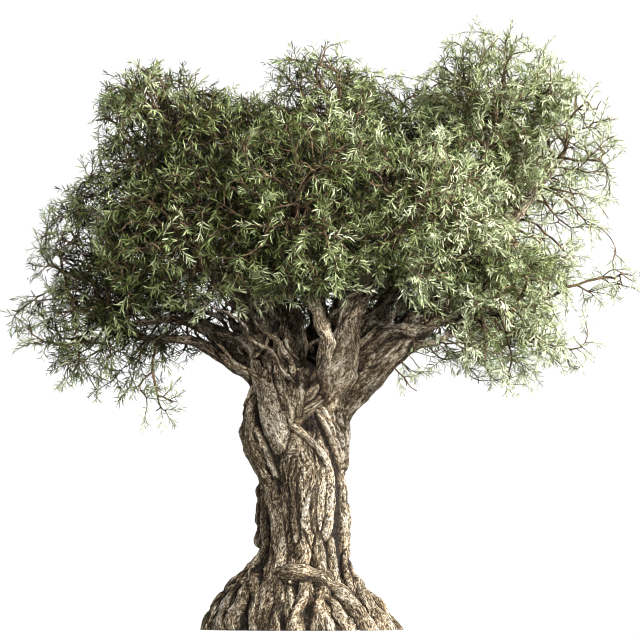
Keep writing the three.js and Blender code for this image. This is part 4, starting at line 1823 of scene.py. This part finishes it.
@dataclass
class Wood:
    """The skin over the crown's wood: a ring of points at each node, each ring joined to its parent's.

    sides lists the points in a ring of a limb that starts above the radius thick, above thin, and below it.
    """

    growth: Growth
    radius: Array
    thick: float = 0.011
    thin: float = 0.0045
    sides: tuple[int, int, int] = (8, 4, 3)

    def shapes(self) -> list[Shape]:
        """The wood in pieces: the thick limbs, then the thin ones.

        A node is its parent's heir if it is the thickest of its siblings. An heir's ring joins the parent's
        ring, and any other node starts a limb with a ring of its own at its parent's place.

        Returns:
            One shape for each number of sides.
        """
        g = self.growth
        count = len(g.at)
        grown = np.arange(g.wood, count)
        parent = g.parent
        order = grown[np.argsort(self.radius[grown], kind="stable")]
        heir = np.full(count, -1)
        heir[parent[order]] = order
        follows = np.zeros(count, bool)
        follows[grown] = (heir[parent[grown]] == grown) & (parent[grown] >= g.wood)
        way = g.at - g.at[np.maximum(parent, 0)]
        way = unit(np.where((parent >= 0)[:, None], way, g.way))
        bend = way.copy()
        has_heir = heir >= 0
        bend[has_heir] = unit(way[has_heir] + way[heir[has_heir]])
        normal = across(np.broadcast_to(np.array([0.3, 0.2, 0.93]), way.shape), bend)
        sides = np.zeros(count, int)
        most, some, fewest = self.sides
        for batch in g.batches:
            own = np.where(self.radius[batch] > self.thin, some, fewest)
            own = np.where(self.radius[batch] > self.thick, most, own)
            sides[batch] = np.where(follows[batch], sides[parent[batch]], own)
            carried = across(normal[parent[batch]], bend[batch])
            normal[batch] = np.where(follows[batch][:, None], carried, normal[batch])
        chosen = [grown[sides[grown] == n] for n in self.sides]
        made = [self.skin(*both, follows, heir, bend, way, normal) for both in zip(chosen, self.sides)]
        return [shape for shape in made if len(shape.points)]

    def skin(
        self, nodes: Array, sides: int, follows: Array, heir: Array,
        bend: Array, way: Array, normal: Array,
    ) -> Shape:
        """The skin over the nodes of one number of sides.

        Args:
            nodes: the nodes.
            sides: how many points each ring has.
            follows: which nodes carry on their parent's limb.
            heir: the node that carries on each node's limb, or -1.
            bend: the limb's heading at each node.
            way: the heading from each node's parent to it.
            normal: the way each ring's first point faces.

        Returns:
            The surface.
        """
        g = self.growth
        starts = nodes[~follows[nodes]]
        angle = np.arange(sides) * (2.0 * math.pi / sides)

        def rings(middle: Array, along: Array, first: Array, radius: Array) -> Array:
            """Rings of points round each middle, at right angles to along."""
            second = np.cross(along, first)
            spoke = np.cos(angle)[None, :, None] * first[:, None]
            spoke = spoke + np.sin(angle)[None, :, None] * second[:, None]
            return middle[:, None] + radius[:, None, None] * spoke

        own = rings(g.at[nodes], bend[nodes], normal[nodes], self.radius[nodes])
        first = across(normal[starts], way[starts])
        base = rings(g.at[g.parent[starts]], way[starts], first, self.radius[starts] * 1.25)
        points = np.concatenate([own.reshape(-1, 3), base.reshape(-1, 3)])
        row = np.full(len(g.at), -1)
        row[nodes] = np.arange(len(nodes)) * sides
        start_row = np.full(len(g.at), -1)
        start_row[starts] = (len(nodes) + np.arange(len(starts))) * sides
        below = np.where(follows[nodes], row[np.maximum(g.parent[nodes], 0)], start_row[nodes])
        side = np.arange(sides)
        after = (side + 1) % sides
        low, high = below[:, None], row[nodes][:, None]
        quads = np.stack([low + side, low + after, high + after, high + side], axis=-1).reshape(-1, 4)
        tips = nodes[heir[nodes] < 0]
        ends = g.at[tips] + bend[tips] * self.radius[tips][:, None]
        apex = len(points) + np.arange(len(tips))[:, None]
        top = row[tips][:, None]
        caps = np.stack([top + side, top + after, np.broadcast_to(apex, top.shape) + 0 * side], axis=-1)
        feet = len(points) + len(tips) + np.arange(len(starts))[:, None]
        root = start_row[starts][:, None]
        bases = np.stack([root + after, root + side, feet + 0 * side], axis=-1)
        points = np.concatenate([points, ends, g.at[g.parent[starts]] - way[starts] * 0.002])
        return Shape(points, quads, np.concatenate([caps.reshape(-1, 3), bases.reshape(-1, 3)]))


@dataclass
class Sprays:
    """The leafy shoots at the ends of the crown's wood, with narrow leaves in opposite pairs.

    Attributes:
        pairs: how many pairs of leaves a shoot has.
        gap: how far apart they are on a shoot of middling length.
        thin_wood: the radius under which wood carries side shoots, on the share side_shoots of its nodes.
        lean: how far a tip's shoot, and a side shoot, leans off its wood.
        lengths: the shortest and longest share of a middling shoot.
        bare: the share of its side shoots that shaded wood keeps; it loses the share bare_tips of its tips'.
        leafing: the heights over which the shade ends; it starts over the heights fork.
        core: the distances from the axis over which it ends.
        airy: how much a shoot with few neighbours gains in openness.
        mixed: how far single leaves stray in brightness; varied says how far whole sprays do.
        sunward: the painted light gained a metre to the right, where the key light comes from; downward and
        outward are that a metre down, and off the middle to either side.
        batch: how many shoots are compared with all the others at a time.
        origin: where each shoot starts; way, droop and length are its heading, bend and length.
    """

    growth: Growth
    radius: Array
    pairs: int = 9
    gap: float = 0.0182
    leaf_length: float = 0.060
    leaf_width: float = 0.0078
    shoot_radius: float = 0.0028
    thin_wood: float = 0.0062
    side_shoots: float = 0.90
    lean: Pair = (0.30, 1.15)
    lengths: Pair = (0.70, 1.25)
    bare: float = 0.12
    bare_tips: float = 0.75
    leafing: Pair = (2.15, 2.80)
    fork: Pair = (1.70, 1.95)
    core: Pair = (0.80, 1.35)
    airy: float = 0.30
    mixed: float = 0.22
    varied: float = 0.26
    sunward: float = 0.26
    downward: float = 0.10
    outward: float = 0.15
    batch: int = 2000
    origin: Array = field(default_factory=lambda: np.zeros((0, 3)))
    way: Array = field(default_factory=lambda: np.zeros((0, 3)))
    droop: Array = field(default_factory=lambda: np.zeros((0, 3)))
    length: Array = field(default_factory=lambda: np.zeros(0))

    def sprout(self, draw: np.random.Generator) -> None:
        """Puts a shoot on the tips and on most of the thin wood behind them, but few in the shade.

        Args:
            draw: the random source.
        """
        g = self.growth
        count = g.children()
        grown = np.arange(len(g.at)) >= g.wood
        shaded = (1.0 - smoothstep(g.at[:, 2], *self.leafing)) * smoothstep(g.at[:, 2], *self.fork)
        shaded *= 1.0 - smoothstep(np.hypot(g.at[:, 0], g.at[:, 1]), *self.core)
        leafy_tips = draw.uniform(size=len(count)) > self.bare_tips * shaded
        tips = np.flatnonzero((count == 0) & grown & leafy_tips)
        thin = np.flatnonzero((count > 0) & grown & (self.radius < self.thin_wood))
        leafy = self.side_shoots * (1.0 - (1.0 - self.bare) * shaded[thin])
        sides = thin[draw.uniform(size=len(thin)) < leafy]
        starts = np.concatenate([tips, sides])
        way = unit(g.at[starts] - g.at[g.parent[starts]])
        aside = across(unit(draw.normal(size=way.shape)), way)
        lean = np.where(np.arange(len(starts)) < len(tips), *self.lean)[:, None]
        way = unit(way + lean * aside + np.array([0.0, 0.0, 0.16]))
        self.origin, self.way = g.at[starts], way
        self.length = draw.uniform(*self.lengths, len(starts)) * self.pairs * self.gap
        bend = draw.normal(scale=0.8, size=way.shape) + np.array([0.0, 0.0, -0.7])
        self.droop = across(bend, way) * draw.uniform(0.5, 2.2, len(starts))[:, None]

    def ends(self) -> Array:
        """Where the leaves at each shoot's tip end."""
        return self.along(np.ones((len(self.origin), 1)))[:, 0] + 0.5 * self.leaf_length * self.way

    def keep(self, wanted: Array) -> None:
        """Drops the shoots that aren't wanted."""
        self.origin, self.way, self.droop = self.origin[wanted], self.way[wanted], self.droop[wanted]
        self.length = self.length[wanted]

    def along(self, share: Array) -> Array:
        """Points on each shoot: the start, plus the heading times the run, plus the droop times its square.

        Args:
            share: shares of each shoot's length, of shape (shoots, shares).

        Returns:
            The points, of shape (shoots, shares, 3).
        """
        run = (share * self.length[:, None])[..., None]
        return self.origin[:, None] + self.way[:, None] * run + self.droop[:, None] * run**2

    def headings(self, share: Array) -> Array:
        """The shoots' headings at the given shares."""
        run = share * self.length[:, None]
        return unit(self.way[:, None] + 2.0 * self.droop[:, None] * run[..., None])

    def stems(self) -> Shape:
        """The shoots' stems: three-sided tubes of two rings that run out to a point, closed at the start."""
        share = np.broadcast_to(np.array([0.0, 0.55, 1.0]), (len(self.origin), 3))
        middle, way = self.along(share), self.headings(share)
        first = across(np.broadcast_to(np.array([0.2, 0.3, 0.93]), way.shape), way)
        side = np.cross(way, first)
        angle = np.arange(3) * (2.0 * math.pi / 3.0)
        radius = self.shoot_radius * np.array([1.3, 0.9])[None, :, None, None]
        spoke = np.cos(angle)[:, None] * first[:, :2, None] + np.sin(angle)[:, None] * side[:, :2, None]
        rings = (middle[:, :2, None] + radius * spoke).reshape(-1, 6, 3)
        points = np.concatenate([rings, middle[:, 2:]], axis=1)
        start = np.arange(len(self.origin))[:, None, None] * 7
        quads = start + np.array([[0, 1, 4, 3], [1, 2, 5, 4], [2, 0, 3, 5]])
        tris = start + np.array([[0, 2, 1], [3, 4, 6], [4, 5, 6], [5, 3, 6]])
        return Shape(points.reshape(-1, 3), quads.reshape(-1, 4), tris.reshape(-1, 3))

    def openness(self, reach: float = 0.30) -> Array:
        """How open to the air each shoot is, from about 0 deep in the crown to 1 at its edge.

        It is the length of the mean offset from the shoot's neighbours within reach to the shoot, as a share
        of half that reach, plus a gain for each shoot with fewer neighbours than most.

        Args:
            reach: how far off a neighbour counts.

        Returns:
            The openness of each shoot.
        """
        spots = (self.origin + 0.5 * self.way * self.length[:, None]).astype(np.float32)
        found, crowds = np.empty(len(spots)), np.empty(len(spots))
        for start in range(0, len(spots), self.batch):
            stop = start + self.batch
            part = spots[start:stop]
            near = (squared_gaps(part, spots) < reach**2).astype(np.float32)
            crowd = near.sum(axis=1)
            mean = near @ spots / crowd[:, None]
            found[start:stop] = np.linalg.norm(part - mean, axis=1)
            crowds[start:stop] = crowd
        return found / (0.5 * reach) + self.airy * (1.0 - crowds / np.median(crowds))

    def leaves(self, shares: list[float], draw: np.random.Generator) -> list[Shape]:
        """All the leaves, dealt out by spray.

        A leaf is a narrow blade of four triangles, bent along its length and swept to one side as a sickle
        is: its foot, two points a third of the way along, two at seven tenths, and its tip. Sprays are dealt
        from the darker pieces to the paler by how open they are and how far right, low and out they lie, with
        some random spread, so that the tints paint shade in the crown's depths and light on its open and
        right-hand sprays; a few leaves of each spray stray from its tint, as those do that turn their
        undersides up.

        Args:
            shares: each piece's share of the sprays, from the darkest to the palest.
            draw: the random source.

        Returns:
            One shape for each share.
        """
        count = len(self.origin)
        pair = np.arange(self.pairs)
        share = np.broadcast_to((pair + 1.0) / self.pairs, (count, self.pairs))
        share = share + draw.uniform(-0.045, 0.045, (count, self.pairs))
        spot, way = self.along(share), self.headings(share)
        slip = draw.uniform(-0.4, 0.4, (count, self.pairs, 2, 1)) * self.gap * way[:, :, None]
        start = across(draw.normal(size=(count, 1, 3)) + 0.0 * way, way)
        other = np.cross(way, start)
        turn = pair * (math.pi / 2.0) + draw.uniform(-0.7, 0.7, (count, self.pairs))
        out = np.cos(turn)[..., None] * start + np.sin(turn)[..., None] * other
        out = np.stack([out, -out], axis=2)
        spread = np.radians(52.0 - 26.0 * share)[:, :, None]
        spread = spread + draw.normal(scale=0.24, size=(count, self.pairs, 2))
        blade = unit(np.cos(spread)[..., None] * way[:, :, None] + np.sin(spread)[..., None] * out)
        face = across(way[:, :, None] * 0.7 + UP * 0.7 + draw.normal(scale=0.5, size=blade.shape), blade)
        side = np.cross(blade, face)
        size = (0.70 + 0.45 * np.sin(math.pi * np.clip(share, 0.0, 1.0)) ** 0.7)[:, :, None]
        size = size * draw.uniform(0.80, 1.15, (count, self.pairs, 2))
        length = (self.leaf_length * size)[..., None, None]
        width = (self.leaf_width * 0.5 * (0.6 + 0.4 * size))[..., None, None]
        # The blade's six points: how far along and how far aside, as shares.
        along = np.array([0.0, 0.34, 0.34, 0.72, 0.72, 1.0])[:, None]
        aside = np.array([0.0, -1.0, 1.0, -0.72, 0.72, 0.0])[:, None]
        curl = draw.normal(loc=-0.16, scale=0.18, size=(count, self.pairs, 2))[..., None, None]
        sweep = draw.normal(scale=0.22, size=(count, self.pairs, 2))[..., None, None]
        blades = (spot[:, :, None] + slip)[:, :, :, None] + blade[..., None, :] * along * length
        blades = blades + side[..., None, :] * (aside * width + sweep * along**2 * length)
        blades = blades + face[..., None, :] * (curl * along**2 * length)
        blades = blades.reshape(count, -1, 6, 3)
        quad, ends = np.array([1, 2, 4, 3]), np.array([[0, 2, 1], [3, 4, 5]])
        # Painted light and shade: sprays that are open, to the right, low or far out rank paler and crowded
        # inner ones darker, with random spread on top.
        painted_light_and_tone = self.openness() + self.origin @ np.array([self.sunward, 0.0, -self.downward])
        painted_light_and_tone += self.outward * np.abs(self.origin[:, 0])
        painted_light_and_tone += draw.normal(scale=self.varied, size=count)
        painted_light_and_tone = painted_light_and_tone[:, None] + draw.normal(scale=self.mixed, size=blades.shape[:2])
        rank = np.argsort(np.argsort(painted_light_and_tone, axis=None)).reshape(painted_light_and_tone.shape) / painted_light_and_tone.size
        owner = np.searchsorted(np.cumsum(shares) / sum(shares), rank, side="right")
        shapes = []
        for i in range(len(shares)):
            mine = blades[owner == i]
            row = 6 * np.arange(len(mine))
            shapes.append(
                Shape(mine.reshape(-1, 3), row[:, None] + quad, (row[:, None, None] + ends).reshape(-1, 3))
            )
        return shapes


# ---- The studio ----


@dataclass
class Studio:
    """A white studio: a pale floor, a white surround, a key light from the upper right, and the camera.

    frame_height is the frame's width and height at the tree. The floor shines on things as brightly as
    floor_glow, and looks as bright as floor_seen.
    """

    eye: Triple = (0.14, -24.0, 0.30)
    aim: Triple = (0.14, 0.0, 2.149)
    frame_height: float = 4.46
    sensor: float = 36.0
    floor_size: float = 80.0
    floor_glow: float = 0.10
    floor_seen: float = 1.02

    def camera(self) -> None:
        """Makes the camera: its lens makes the frame as wide as wanted at the tree."""
        data = bpy.data.cameras.new("camera")
        data.sensor_width = self.sensor
        way = Vector(self.aim) - Vector(self.eye)
        data.lens = self.sensor * way.length / self.frame_height
        made = bpy.data.objects.new("camera", data)
        made.location = self.eye
        made.rotation_euler = way.to_track_quat("-Z", "Y").to_euler()
        bpy.context.scene.collection.objects.link(made)
        bpy.context.scene.camera = made

    def floor(self) -> None:
        """Makes the floor: a level plane that looks white and shines a little."""
        half = self.floor_size / 2.0
        corners = np.array([[-half, -half, 0.0], [half, -half, 0.0], [half, half, 0.0], [-half, half, 0.0]])
        paint = Painter("floor_white")
        seen = paint.add("ShaderNodeLightPath").outputs["Is Camera Ray"]
        strength = paint.share(seen, 0.0, 1.0, self.floor_glow, self.floor_seen)
        glow = paint.add("ShaderNodeEmission", Strength=strength)
        paint.feed(paint.tree.nodes["Material Output"], "Surface", glow.outputs[0])
        put_in("floor", Shape(corners, np.array([[0, 1, 2, 3]])), paint.material)

    def sun(self, name: str, facing: Triple, power: float, width: float) -> None:
        """Makes a far light.

        Args:
            name: its name.
            facing: where it stands, as a direction from the tree.
            power: its strength.
            width: its width across the sky, in degrees.
        """
        data = bpy.data.lights.new(name, "SUN")
        data.energy = power
        data.angle = math.radians(width)
        made = bpy.data.objects.new(name, data)
        made.rotation_euler = (-Vector(facing)).to_track_quat("-Z", "Y").to_euler()
        bpy.context.scene.collection.objects.link(made)

    def surround(self, seen: float, lit: float) -> None:
        """Makes the surround: white to the eye, and softer as a light.

        Args:
            seen: how bright it looks.
            lit: how bright it shines on things.
        """
        world = bpy.data.worlds.new("surround")
        bpy.context.scene.world = world
        world.use_nodes = True
        nodes, links = world.node_tree.nodes, world.node_tree.links
        glow = nodes["Background"]
        glow.inputs["Color"].default_value = (1.0, 1.0, 1.0, 1.0)
        ray = nodes.new("ShaderNodeLightPath")
        strength = nodes.new("ShaderNodeMapRange")
        strength.inputs["To Min"].default_value = lit
        strength.inputs["To Max"].default_value = seen
        links.new(ray.outputs["Is Camera Ray"], strength.inputs["Value"])
        links.new(strength.outputs["Result"], glow.inputs["Strength"])

    def build(self) -> None:
        """Builds the whole studio."""
        self.camera()
        self.floor()
        self.surround(seen=1.05, lit=0.04)
        self.sun("key", (1.00, -0.24, 0.36), 9.8, 3.0)
        self.sun("front", (0.42, -1.00, 0.24), 3.9, 5.0)
        self.sun("fill", (-0.70, -1.00, 0.20), 1.6, 12.0)
        bpy.context.scene.view_settings.view_transform = "Standard"
        bpy.context.scene.cycles.filter_width = 1.0


# ---- The tree ----

# The tints run from dark to pale; dealt by openness and place, the dark ones are painted shade deep in the
# crown and the pale ones painted light on its open and right-hand sprays.
LEAF_TINTS = (
    ("leaves_shade", (13, 15, 3), 0.22),
    ("leaves_deep", (40, 46, 13), 0.15),
    ("leaves_olive", (78, 88, 38), 0.16),
    ("leaves_green", (112, 125, 72), 0.18),
    ("leaves_fresh", (143, 155, 104), 0.14),
    ("leaves_grey", (172, 181, 138), 0.10),
    ("leaves_silver", (202, 209, 172), 0.05),
)


def main() -> None:
    """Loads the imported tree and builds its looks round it."""
    logging.basicConfig(level=logging.INFO, format="%(name)s: %(message)s")
    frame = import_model()
    Studio().build()
    bark = BarkFinish("olive_bark").build()
    twig = TwigFinish("olive_twig").build()
    trunk, boughs = Trunk(), Boughs()
    limbs = [limb for limbs in trunk.limbs().values() for limb in limbs] + list(boughs.limbs().values())
    creepers = Creepers(Company(limbs, trunk.bole))
    company = Company(limbs + creepers.limbs, trunk.bole)
    trunk.build(bark, company)
    boughs.build(bark, company)
    creepers.build(bark, company)
    leaves = [(name, LeafFinish(name, tint).build(), share) for name, tint, share in LEAF_TINTS]
    Crown(boughs).build(frame, twig, leaves)


if __name__ == "__main__":
    main()
